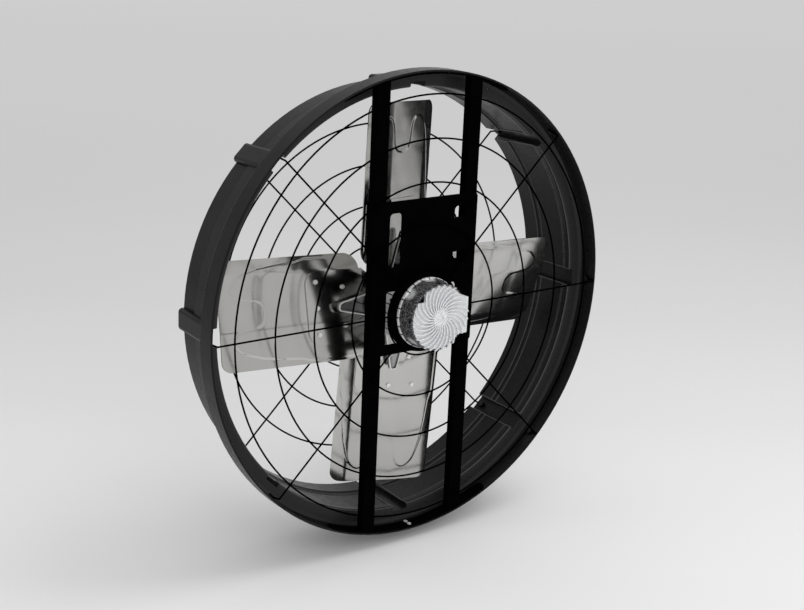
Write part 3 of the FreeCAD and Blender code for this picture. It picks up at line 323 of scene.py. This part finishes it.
@dataclass(frozen=True)
class Moulded(Finish):
    """Moulded plastic with painted highlights along its steps and pad pocket sides, and painted
    light on the collar's inside and shoulder ledge.
    """

    highlight_colour: Colour = (0.115, 0.115, 0.12)
    highlight_size: tuple[float, float] = (0.7 * MM, 3.0 * MM)
    # Each step: radius and place along the axis in millimetres, and the strength of its painted
    # highlight.
    steps: tuple[tuple[float, float, float], ...] = (
        (614.0, -3.5, 1.0), (616.5, 27, 0.3), (609.5, 113.0, 0.7), (605.5, 128.5, 0.6))
    collar_radius: float = 663 * MM
    collar_back: float = -1 * MM
    # Painted light: flat tones on the collar's inside and on the shoulder ledge, set for how
    # light falls there.
    collar_painted_light: Colour = (0.0095, 0.0095, 0.01)
    ledge_front: float = -12 * MM
    ledge_painted_light: Colour = (0.027, 0.027, 0.028)
    pads: int = 8
    pocket_half: float = 25 * MM
    pocket_radius: float = 616 * MM
    pocket_highlight_share: float = 0.8

    def step(self, graph: Graph, reach: float, along: float) -> Output:
        """Find the places close to a round step of the ring, where a painted highlight goes.

        Args:
            graph: the material's nodes.
            reach: radius of the step in millimetres.
            along: place of the step along the axis in millimetres.

        Returns:
            The output that is 1 on the step and fades beside it.
        """
        out = graph.math("SUBTRACT", graph.radius(), reach * MM)
        back = graph.math("SUBTRACT", graph.axis("Y"), along * MM)
        squares = graph.math("ADD", graph.times(out, out), graph.times(back, back))
        return graph.fade(graph.math("SQRT", squares), *self.highlight_size)

    def pockets(self, graph: Graph) -> Output:
        """Find the sides of the pockets inside the pads, where painted highlights go.

        Args:
            graph: the material's nodes.

        Returns:
            The output that is 1 on a side and fades beside it.
        """
        spacing = math.tau / self.pads
        aside = graph.times(graph.times(graph.off_spoke(self.pads), spacing), graph.radius())
        gap = graph.math("ABSOLUTE", graph.math("SUBTRACT", aside, self.pocket_half))
        inner = graph.math("LESS_THAN", graph.radius(), self.pocket_radius)
        return graph.times(graph.fade(gap, *self.highlight_size), inner)

    def skin(self, graph: Graph) -> Output:
        """Return the colour: painted light on the collar's inside and the shoulder ledge, then
        painted highlights on the steps and pocket sides.
        """
        skin = super().skin(graph)
        collar = graph.times(graph.math("LESS_THAN", graph.radius(), self.collar_radius),
                             graph.math("LESS_THAN", graph.axis("Y"), self.collar_back))
        skin = graph.blend(collar, skin, self.collar_painted_light)
        ledge = graph.math("GREATER_THAN", graph.axis("Y"), self.ledge_front)
        skin = graph.blend(graph.times(collar, ledge), skin, self.ledge_painted_light)
        # Painted highlights on the steps and pocket sides stand in for light caught by rounded
        # edges.
        for reach, along, share in self.steps:
            near = graph.times(self.step(graph, reach, along), share)
            skin = graph.blend(near, skin, self.highlight_colour)
        sides = graph.times(self.pockets(graph), self.pocket_highlight_share)
        return graph.blend(sides, skin, self.highlight_colour)


@dataclass(frozen=True)
class Plated(Finish):
    """Bright plating, with painted shade above the fan's axis."""

    painted_shade: Colour = (0.002, 0.002, 0.002)

    def skin(self, graph: Graph) -> Output:
        """Return the colour, with painted shade on the upper pieces."""
        above = graph.math("GREATER_THAN", graph.axis("Z"), 0.0)
        return graph.blend(above, super().skin(graph), self.painted_shade)


@dataclass(frozen=True)
class Shell(Finish):
    """Dark speckled casting with a bright rim, bright bosses, a painted highlight near the top,
    fine ribs and painted shade in the rim's notches.
    """

    specks: Triple = (0.36, 0.50, 0.66)
    grain_colour: Colour = (0.42, 0.42, 0.43)
    rim_colour: Colour = (0.95, 0.95, 0.96)
    rim_radius: float = 99.3 * MM
    rim_blur: float = 0.5 * MM
    radius: float = 97 * MM
    ribs: int = 24
    rib_size: tuple[float, float] = (0.015, 0.05)
    rib_share: float = 0.5
    # Bright bosses at 137 and 223 degrees; the spot at 91 degrees is a painted highlight.
    bosses_and_highlight: tuple[tuple[float, float], ...] = ((137, -103), (91, -96), (223, -120))
    boss_size: tuple[float, float] = (10 * MM, 21 * MM)
    boss_share: tuple[float, float] = (0.75, 1.0)
    notch_half: float = 0.064
    notch_start: float = -98.2 * MM

    def skin(self, graph: Graph) -> Output:
        """Return the colour: specks, then ribs, bright bosses with a painted highlight near the
        top, rim and painted shade in the notches.
        """
        speck = self.texture(graph)
        skin = graph.ramp(speck, list(zip(
            self.specks, (self.dark, self.light, self.grain_colour))))
        off = graph.off_spoke(self.ribs)
        rib = graph.times(graph.fade(off, *self.rib_size), self.rib_share)
        skin = graph.blend(rib, skin, self.grain_colour)
        for angle, along in self.bosses_and_highlight:
            turn = math.radians(angle)
            spot = (self.radius * math.cos(turn), along * MM, self.radius * math.sin(turn))
            bright_spot = graph.fade(graph.distance(spot), *self.boss_size)
            bright_spot = graph.times(bright_spot, graph.span(speck, *self.boss_share))
            skin = graph.blend(bright_spot, skin, self.rim_colour)
        rim = graph.fade(graph.radius(), self.rim_radius + self.rim_blur,
                         self.rim_radius - self.rim_blur)
        skin = graph.blend(rim, skin, self.rim_colour)
        # Painted shade in the rim's notches, in the casting's dark colour.
        notch_shade = graph.times(graph.math("LESS_THAN", off, self.notch_half),
                            graph.math("GREATER_THAN", graph.axis("Y"), self.notch_start))
        return graph.blend(notch_shade, skin, self.dark)


@dataclass(frozen=True)
class FinnedCap(Finish):
    """Rough cast cap with painted shade between its fins, dark where its rim is bitten out."""

    specks: Triple = (0.36, 0.46, 0.62)
    root: float = -143 * MM
    crest: float = -150 * MM
    groove_shade: Colour = (0.76, 0.77, 0.78)
    groove_shade_share: float = 0.8
    pitted: Colour = (0.5, 0.51, 0.52)
    bitten: Colour = (0.03, 0.03, 0.033)
    bites: tuple[tuple[float, float, float, float], ...] = (
        (-95, -53.9, 50.4, 95), (-95, -63.5, -95, -56.1))
    bite_floor: float = -142.2 * MM

    def bite(self, graph: Graph, box: tuple[float, float, float, float]) -> Output:
        """Find the floor of a bite.

        Args:
            graph: the material's nodes.
            box: left, right, lower and upper side of the bite in millimetres.

        Returns:
            The output that is 1 on the floor.
        """
        left, right, low, high = (side * MM for side in box)
        share = graph.math("GREATER_THAN", graph.axis("Y"), self.bite_floor)
        share = graph.times(share, graph.within(graph.axis("X"), left, right))
        return graph.times(share, graph.within(graph.axis("Z"), low, high))

    def skin(self, graph: Graph) -> Output:
        """Return the colour: pits, then painted shade in the grooves, then the bites."""
        skin = graph.ramp(self.texture(graph), list(zip(
            self.specks, (self.pitted, self.dark, self.light))))
        # Painted shade grows towards the groove floors between the fins.
        deep = graph.fade(graph.axis("Y"), self.root, self.crest)
        skin = graph.blend(graph.times(deep, self.groove_shade_share), skin, self.groove_shade)
        for box in self.bites:
            skin = graph.blend(self.bite(graph, box), skin, self.bitten)
        return skin

    def sheen(self, graph: Graph) -> Output:
        """Return the roughness, which follows the pits."""
        return graph.span(self.texture(graph), *self.gloss)


@dataclass(frozen=True)
class Brushed(Finish):
    """Metal with fine lines along one direction."""

    grain: float = 60.0
    detail: float = 6.0
    relief: float = 0.25
    stretch: Triple = (1.0, 1.0, 30.0)

    def texture(self, graph: Graph) -> Output:
        """Return the fine lines."""
        return graph.noise(self.grain, self.detail, self.stretch)

    def sheen(self, graph: Graph) -> Output:
        """Return the roughness, which follows the lines."""
        return graph.span(self.texture(graph), *self.gloss)


@dataclass(frozen=True)
class TurnedEdge(Brushed):
    """Brushed sheet with painted highlights on its turned edges."""

    edge_plane: float = 42 * MM
    edge_blur: float = 1 * MM
    highlight_colour: Colour = (0.95, 0.95, 0.94)
    edge_dulling: float = 0.6

    def edge_highlight(self, graph: Graph) -> Output:
        """Return 1 on the turned edges, which stand out to the front and carry the painted
        highlight.
        """
        return graph.fade(graph.axis("Y"), self.edge_plane - self.edge_blur,
                          self.edge_plane + self.edge_blur)

    def skin(self, graph: Graph) -> Output:
        """Return the colour, with painted highlights on the turned edges."""
        return graph.blend(self.edge_highlight(graph), super().skin(graph), self.highlight_colour)

    def sheen(self, graph: Graph) -> Output:
        """Return the roughness, highest on the turned edges."""
        return graph.span(self.edge_highlight(graph), *self.gloss)

    def paint(self, graph: Graph) -> None:
        """Fill the material, with less metallic edges under the painted highlight.

        Args:
            graph: the material's nodes.
        """
        super().paint(graph)
        dulling = graph.times(self.edge_highlight(graph), self.edge_dulling)
        graph.feed("Metallic", graph.math("SUBTRACT", self.metallic, dulling))


RING = Moulded("moulded_black", "ring_plastic", (0.008, 0.008, 0.0085), (0.0115, 0.0115, 0.012),
               (0.24, 0.34), specular=0.10, grain=700, depth=0.00005)
COAT = Finish("black_coat", "black_steel", (0.0005, 0.0005, 0.0005), (0.0012, 0.0012, 0.0012),
              (0.55, 0.7), specular=0.004, grain=1200)
WIRE = Finish("black_wire", "black_wire", (0.0004, 0.0004, 0.0004), (0.001, 0.001, 0.001),
              (0.5, 0.6), specular=0.0, grain=1500)
DARK_BOLT = Finish("black_fastener", "black_fastener", (0.002, 0.002, 0.002),
                   (0.004, 0.004, 0.004), (0.4, 0.5), specular=0.2)
BLADE = Finish("blade_steel", "blade_steel", (0.49, 0.485, 0.47), (0.54, 0.535, 0.52),
               (0.12, 0.17), metallic=1.0, scale=7, grain=500, depth=0.000004)
# The star's turned edges carry painted highlights.
STAR = TurnedEdge("bright_steel", "bright_steel", (0.30, 0.30, 0.30), (0.42, 0.42, 0.42),
                  (0.12, 0.22), metallic=1.0)
ZINC = Finish("zinc_plate", "zinc_fastener", (0.88, 0.88, 0.86), (0.95, 0.95, 0.93),
              (0.3, 0.45), metallic=0.6, scale=120)
# Rivets above the axis get painted shade.
RIVET = Plated("plated_rivet", "zinc_fastener", (0.88, 0.88, 0.86), (0.95, 0.95, 0.93),
               (0.3, 0.45), metallic=0.6, scale=120)
CAST = FinnedCap("cast_aluminium", "cast_aluminium", (0.88, 0.89, 0.90), (0.96, 0.96, 0.97),
                 (0.32, 0.45), metallic=0.6, grain=380, detail=5.0, relief=0.9, depth=0.0011)
SHELL = Shell("speckled_casting", "motor_shell", (0.006, 0.006, 0.007),
              (0.05, 0.05, 0.053), (0.35, 0.55), metallic=0.4, scale=60, grain=300,
              detail=4.0, relief=0.6, depth=0.0006)
CORE = Brushed("core_steel", "core_steel", (0.2, 0.2, 0.21), (0.3, 0.3, 0.31), (0.4, 0.5),
               metallic=1.0, stretch=(1.0, 60.0, 1.0))
COPPER = Brushed("copper_winding", "copper_winding", (0.42, 0.17, 0.07), (0.6, 0.27, 0.12),
                 (0.3, 0.4), metallic=1.0, stretch=(1.0, 40.0, 1.0))
GROUND = Brushed("bearing_steel", "bearing_steel", (0.5, 0.5, 0.52), (0.62, 0.62, 0.64),
                 (0.15, 0.25), metallic=1.0, stretch=(1.0, 30.0, 1.0))


def clear_selection() -> None:
    """Leave edit mode and deselect every object."""
    if bpy.context.object and bpy.context.object.mode != "OBJECT":
        bpy.ops.object.mode_set(mode="OBJECT")
    bpy.ops.object.select_all(action="DESELECT")


def pick(obj: bpy.types.Object) -> None:
    """Make one object the active and only selected one."""
    clear_selection()
    obj.select_set(True)
    bpy.context.view_layer.objects.active = obj


def apply_all(obj: bpy.types.Object) -> None:
    """Apply the modifiers of an object in their order."""
    pick(obj)
    for modifier in list(obj.modifiers):
        bpy.ops.object.modifier_apply(modifier=modifier.name)


def smooth(obj: bpy.types.Object, angle: float) -> None:
    """Shade an object smooth below an angle between faces.

    Args:
        obj: the object.
        angle: largest angle in degrees that is shaded smooth.
    """
    pick(obj)
    bpy.ops.object.shade_smooth_by_angle(angle=math.radians(angle))


def dress(obj: bpy.types.Object, finish: Finish) -> None:
    """Give an object one finish."""
    obj.data.materials.clear()
    obj.data.materials.append(finish.material())


def ease(value: float) -> float:
    """Blend softly from 0 to 1."""
    value = min(1.0, max(0.0, value))
    return value * value * (3 - 2 * value)


@dataclass
class Assembly:
    """A group of pieces that belong to one rigid body."""

    body: Body = Body.HOUSING
    finishes: dict[str, Finish] = field(default_factory=dict)

    def dress_nodes(self) -> None:
        """Give every node of the frame in this group its finish."""
        for node, finish in self.finishes.items():
            dress(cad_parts[node], finish)
            LOG.info("%s: %s", node, finish.name)

    def new_piece(self, obj: bpy.types.Object, finish: Finish, *nodes: str) -> None:
        """Hand over a new piece that takes the place of nodes.

        Args:
            obj: the new piece.
            finish: its finish.
            nodes: nodes of the frame that it stands for.
        """
        dress(obj, finish)
        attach(obj, self.body.value)
        if nodes:
            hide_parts(*nodes)
        LOG.info("%s: new piece, %s", obj.name, finish.name)

    def build(self) -> None:
        """Dress the nodes; groups with new pieces add to this."""
        self.dress_nodes()


@dataclass
class Housing(Assembly):
    """Moulded ring with the straps inside its collar."""

    finishes: dict[str, Finish] = field(default_factory=lambda: {
        "housing_ring": RING, "strap_top": COAT, "strap_bottom": COAT,
        "strap_rivets": RIVET})


@dataclass
class MotorFrame(Assembly):
    """Two bars and the plate that carry the motor."""

    finishes: dict[str, Finish] = field(default_factory=lambda: {
        "left_bar": COAT, "right_bar": COAT, "motor_plate": COAT,
        "plate_bolts": COAT, "plate_nuts": DARK_BOLT})


@dataclass
class Motor(Assembly):
    """Motor with its finned cap, and what it holds inside."""

    finishes: dict[str, Finish] = field(default_factory=lambda: {
        "motor_flange": COAT, "flange_bolts": COAT, "flange_nuts": DARK_BOLT,
        "motor_front_shell": SHELL, "motor_end_cap": CAST, "cap_screws": DARK_BOLT,
        "motor_rear_shell": SHELL, "bearing_front": GROUND, "bearing_rear": GROUND,
        "stator_core": CORE, "stator_windings": COPPER})


@dataclass
class Guards(Assembly):
    """Wire guards in front and behind, with their screws."""

    finishes: dict[str, Finish] = field(default_factory=lambda: {
        "front_guard": WIRE, "rear_guard": WIRE, "front_guard_screws": DARK_BOLT,
        "rear_guard_screws": DARK_BOLT})


@dataclass
class Rotor(Assembly):
    """Shaft, hub and blade carrier; the star gets rounded edges."""

    body: Body = Body.PROPELLER
    edge: float = 0.7 * MM
    edge_segments: int = 3
    edge_angle: float = 40.0
    merge: float = 0.002 * MM
    flat_angle: float = 0.5
    rounded: str = "hub_star"
    finishes: dict[str, Finish] = field(default_factory=lambda: {
        "rotor_core": CORE, "motor_shaft": GROUND, "shaft_key": ZINC, "hub_star": STAR,
        "hub_boss": STAR, "blade_carrier": BLADE, "blade_bolts": ZINC, "blade_nuts": ZINC,
        "hub_bolts": ZINC, "hub_nuts": ZINC, "hub_end_screw": ZINC})

    def soften(self, node: str) -> None:
        """Round the edges of a copy of a node and hand it over in its place.

        Args:
            node: name of the node.
        """
        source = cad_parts[node]
        sheet = source.copy()
        sheet.data = source.data.copy()
        sheet.name = sheet.data.name = "rounded_" + node
        bpy.context.collection.objects.link(sheet)
        pick(sheet)
        bpy.ops.object.mode_set(mode="EDIT")
        bpy.ops.mesh.select_all(action="SELECT")
        bpy.ops.mesh.remove_doubles(threshold=self.merge)
        bpy.ops.mesh.dissolve_limited(angle_limit=math.radians(self.flat_angle))
        bpy.ops.object.mode_set(mode="OBJECT")
        bevel = sheet.modifiers.new("edges", "BEVEL")
        bevel.width = self.edge
        bevel.segments = self.edge_segments
        bevel.limit_method = "ANGLE"
        bevel.angle_limit = math.radians(self.edge_angle)
        apply_all(sheet)
        smooth(sheet, self.edge_angle)
        self.new_piece(sheet, self.finishes[node], node)

    def build(self) -> None:
        """Dress the nodes and round the edges of the star."""
        self.dress_nodes()
        self.soften(self.rounded)


@dataclass
class Blades(Assembly):
    """Four pressed sheet blades; sizes in millimetres.

    In the frame of a blade X runs from its front edge to its back edge, Y to the back
    of the blade and Z outward along its middle.
    """

    body: Body = Body.PROPELLER
    chord: float = 298.0
    root: float = 112.0
    tip: float = 562.0
    sheet: float = 3.0
    camber: float = 8.5
    flat_front: float = 42.0
    flat_back: float = 105.0
    lead_bend: float = 5.0
    trail_bend: float = 7.0
    emboss: float = 2.0
    emboss_slope: float = 4.0
    tip_corner: float = 30.0
    root_corner: float = 45.0
    pitch: float = 17.3
    cone: float = 1.7
    lag: float = 2.9
    offset: float = 9.8
    plane: float = 72.5
    columns: int = 120
    rows: int = 170
    row_crowding: float = 1.25
    smooth_angle: float = 50.0
    lobes: tuple[tuple[float, float], ...] = (
        (90, 140), (284, 140), (317, 132), (380, 127), (434, 120), (475, 109), (497, 101),
        (510, 91), (519, 80), (522, 70), (519, 59), (511, 50), (496, 43), (475, 39),
        (450, 36), (433, 30), (424, 18), (421, 0))
    ridges: tuple[float, ...] = (331.0, 445.0)
    ridge_height: float = 0.45
    ridge_width: float = 14.0
    dimple_reach: float = 260.0
    dimple_radius: float = 17.0
    dimple_height: float = 0.8
    dimple_width: float = 4.0
    places: dict[str, float] = field(default_factory=lambda: {
        "blade_right": 0.0, "blade_top": 90.0, "blade_left": 180.0, "blade_bottom": 270.0})

    def half_width(self, reach: float) -> float:
        """Half of the blade's width at a distance from the axis.

        Args:
            reach: distance from the axis.

        Returns:
            Half width with the rounded corners taken off.
        """
        half = self.chord / 2
        past, corner = reach - (self.tip - self.tip_corner), self.tip_corner
        if past <= 0:
            past, corner = self.root + self.root_corner - reach, self.root_corner
        if past <= 0:
            return half
        return half - corner + math.sqrt(max(0.0, corner ** 2 - past ** 2))

    def inside(self, reach: float, across: float) -> float:
        """Distance to the outline of the raised panel, positive inside it.

        Args:
            reach: distance from the axis.
            across: place across the blade.

        Returns:
            The signed distance.
        """
        point = Vector((reach, abs(across)))
        best = math.inf
        crossings = 0
        for start, end in zip(self.lobes, self.lobes[1:]):
            first, last = Vector(start), Vector(end)
            edge = last - first
            share = min(1.0, max(0.0, (point - first).dot(edge) / edge.length_squared))
            best = min(best, (point - first - edge * share).length)
            if (first.x > reach) != (last.x > reach):
                crossing = first.y + (reach - first.x) / edge.x * edge.y
                crossings += crossing > abs(across)
        return best if crossings % 2 else -best

    def front_face(self, across: float, reach: float) -> float:
        """Place of the front face of the sheet.

        Args:
            across: place across the blade, positive to its front edge.
            reach: distance from the axis.

        Returns:
            Place of the face along the normal of the chord.
        """
        lead = self.camber / (self.chord / 2 - self.flat_front)
        trail = self.camber / (self.chord / 2 - self.flat_back)
        height = -self.camber
        height += lead * self.bend(across - self.flat_front, self.lead_bend)
        height += trail * self.bend(-across - self.flat_back, self.trail_bend)
        height -= self.emboss * ease(self.inside(reach, across) / self.emboss_slope + 0.5)
        radius = math.hypot(reach, across)
        for ridge in self.ridges:
            height += self.ridge_height * math.exp(-((radius - ridge) / self.ridge_width) ** 2)
        dimple = math.hypot(reach - self.dimple_reach, across) - self.dimple_radius
        return height + self.dimple_height * math.exp(-(dimple / self.dimple_width) ** 2)

    @staticmethod
    def bend(past: float, radius: float) -> float:
        """Rounded bend: zero before it and a straight slope after it."""
        if past <= -radius:
            return 0.0
        if past >= radius:
            return past
        return (past + radius) ** 2 / (4 * radius)

    def press(self, name: str) -> bpy.types.Object:
        """Press one blade in its own frame.

        Args:
            name: name of the piece.

        Returns:
            The blade as a closed sheet.
        """
        clear_selection()
        bpy.ops.mesh.primitive_grid_add(x_subdivisions=self.columns,
                                        y_subdivisions=self.rows, size=2.0)
        blade = bpy.context.object
        blade.name = blade.data.name = name
        middle = (self.root + self.tip) / 2
        length = self.tip - self.root
        for vertex in blade.data.vertices:
            share = vertex.co.y
            share = math.copysign(1 - (1 - abs(share)) ** self.row_crowding, share)
            reach = middle + share * length / 2
            across = -vertex.co.x * self.half_width(reach)
            depth = self.front_face(across, reach)
            vertex.co = Vector((-across, depth, reach)) * MM
        solid = blade.modifiers.new("sheet", "SOLIDIFY")
        solid.thickness = self.sheet * MM
        solid.offset = -1.0
        apply_all(blade)
        bpy.ops.object.mode_set(mode="EDIT")
        bpy.ops.mesh.select_all(action="SELECT")
        bpy.ops.mesh.normals_make_consistent(inside=False)
        bpy.ops.object.mode_set(mode="OBJECT")
        smooth(blade, self.smooth_angle)
        return blade

    def seat(self, angle: float) -> Matrix:
        """Placement of a blade round the hub.

        Args:
            angle: angle of the blade in degrees, counted from +X to +Z.

        Returns:
            The placement.
        """
        swing = Matrix.Rotation(math.radians(90 - angle + self.lag), 4, "Y")
        shift = Matrix.Translation(Vector((-self.offset, self.plane, 0)) * MM)
        tilt = Matrix.Rotation(-math.radians(self.cone), 4, "X")
        return swing @ shift @ tilt @ Matrix.Rotation(math.radians(self.pitch), 4, "Z")

    def build(self) -> None:
        """Press one blade and copy it round the hub."""
        pattern = self.press("blade_pattern")
        for node, angle in self.places.items():
            blade = pattern.copy()
            blade.data = pattern.data.copy()
            blade.name = blade.data.name = "pressed_" + node
            bpy.context.collection.objects.link(blade)
            blade.data.transform(self.seat(angle))
            self.new_piece(blade, BLADE, node)
        bpy.data.objects.remove(pattern)


@dataclass
class Studio:
    """Pale floor, soft light and the camera of the photo."""

    floor_level: float = -0.70
    floor_size: float = 160.0
    floor_span: tuple[float, float] = (-0.5, 20.0)
    # Painted light on the floor: lighter in front, darker at middle distance, lighter again far
    # off.
    floor_painted_light: tuple[tuple[float, float], ...] = (
        (0.017, 0.92), (0.052, 0.87), (0.073, 0.825), (0.137, 0.775), (0.234, 0.775),
        (0.415, 0.83), (0.89, 0.87))
    floor_roughness: float = 0.9
    sky_colour: Colour = (0.93, 0.93, 0.93)
    sky_strength: float = 0.76
    panels: tuple[tuple[str, Triple, float, float], ...] = (
        ("key_light", (2.2, -1.2, 4.2), 2.6, 64.0),
        ("fill_light", (-1.6, -3.2, 2.0), 1.6, 18.0))
    focal_pixels: float = 1426.6
    image_width: float = 804.0
    sensor_width: float = 36.0
    azimuth: float = -37.21
    elevation: float = 16.52
    roll: float = 2.45
    camera_place: Triple = (0.082, 0.022, 5.961)
    unit: float = 0.667
    front_rim: float = -0.065

    def add_floor(self) -> None:
        """Lay a wide pale floor that takes the soft shadow, with painted light along the view
        in its colour.
        """
        clear_selection()
        bpy.ops.mesh.primitive_plane_add(size=self.floor_size,
                                         location=(0, 0, self.floor_level))
        floor = bpy.context.object
        floor.name = "studio_floor"
        graph = Graph("studio_floor")
        ahead = graph.node("ShaderNodeVectorMath", {0: graph.place},
                           {1: (-math.sin(math.radians(self.azimuth)),
                                math.cos(math.radians(self.azimuth)), 0)},
                           operation="DOT_PRODUCT").outputs["Value"]
        share = graph.node("ShaderNodeMapRange", {"Value": ahead},
                           {"From Min": self.floor_span[0], "From Max": self.floor_span[1]})
        graph.feed("Base Color", graph.ramp(share.outputs["Result"], [
            (place, (tone, tone, tone)) for place, tone in self.floor_painted_light]))
        graph.set(Roughness=self.floor_roughness, Specular_IOR_Level=0.0)
        floor.data.materials.append(graph.material)

    def add_light(self) -> None:
        """Light the scene from all sides, with a soft key from above."""
        world = bpy.data.worlds.new("studio_sky")
        bpy.context.scene.world = world
        world.use_nodes = True
        sky = world.node_tree.nodes["Background"]
        sky.inputs["Color"].default_value = (*self.sky_colour, 1)
        sky.inputs["Strength"].default_value = self.sky_strength
        for panel in self.panels:
            self.add_panel(*panel)

    def add_panel(self, name: str, place: Triple, size: float, power: float) -> None:
        """Hang a square light that faces the fan.

        Args:
            name: name of the light.
            place: where it hangs.
            size: length of its side.
            power: power in watts.
        """
        clear_selection()
        bpy.ops.object.light_add(type="AREA", location=place)
        light = bpy.context.object
        light.name = name
        light.data.size = size
        light.data.energy = power
        light.rotation_euler = (-Vector(place)).to_track_quat("-Z", "Y").to_euler()
        light.visible_glossy = False

    def add_camera(self) -> None:
        """Set the camera where the photo was taken."""
        turn, rise, roll = map(math.radians, (self.azimuth, self.elevation, self.roll))
        ahead = Vector((-math.sin(turn) * math.cos(rise), math.cos(turn) * math.cos(rise),
                        -math.sin(rise)))
        level = Vector((math.cos(turn), math.sin(turn), 0))
        upright = level.cross(ahead)
        right = level * math.cos(roll) + upright * math.sin(roll)
        up = upright * math.cos(roll) - level * math.sin(roll)
        side, down, away = (part * self.unit for part in self.camera_place)
        place = Vector((0, self.front_rim, 0)) - right * side + up * down - ahead * away
        data = bpy.data.cameras.new("photo_camera")
        camera = bpy.data.objects.new("photo_camera", data)
        bpy.context.collection.objects.link(camera)
        data.sensor_width = self.sensor_width
        data.lens = self.focal_pixels / self.image_width * self.sensor_width
        camera.matrix_world = Matrix((
            (right.x, up.x, -ahead.x, place.x), (right.y, up.y, -ahead.y, place.y),
            (right.z, up.z, -ahead.z, place.z), (0, 0, 0, 1)))
        bpy.context.scene.camera = camera

    def build(self) -> None:
        """Set up floor, light, camera and the view transform."""
        self.add_floor()
        self.add_light()
        self.add_camera()
        bpy.context.scene.view_settings.view_transform = "Standard"


def main() -> None:
    """Build every group."""
    for group in (Housing(), MotorFrame(), Motor(), Guards(), Rotor(), Blades(), Studio()):
        group.build()


if __name__ == "__main__":
    main()
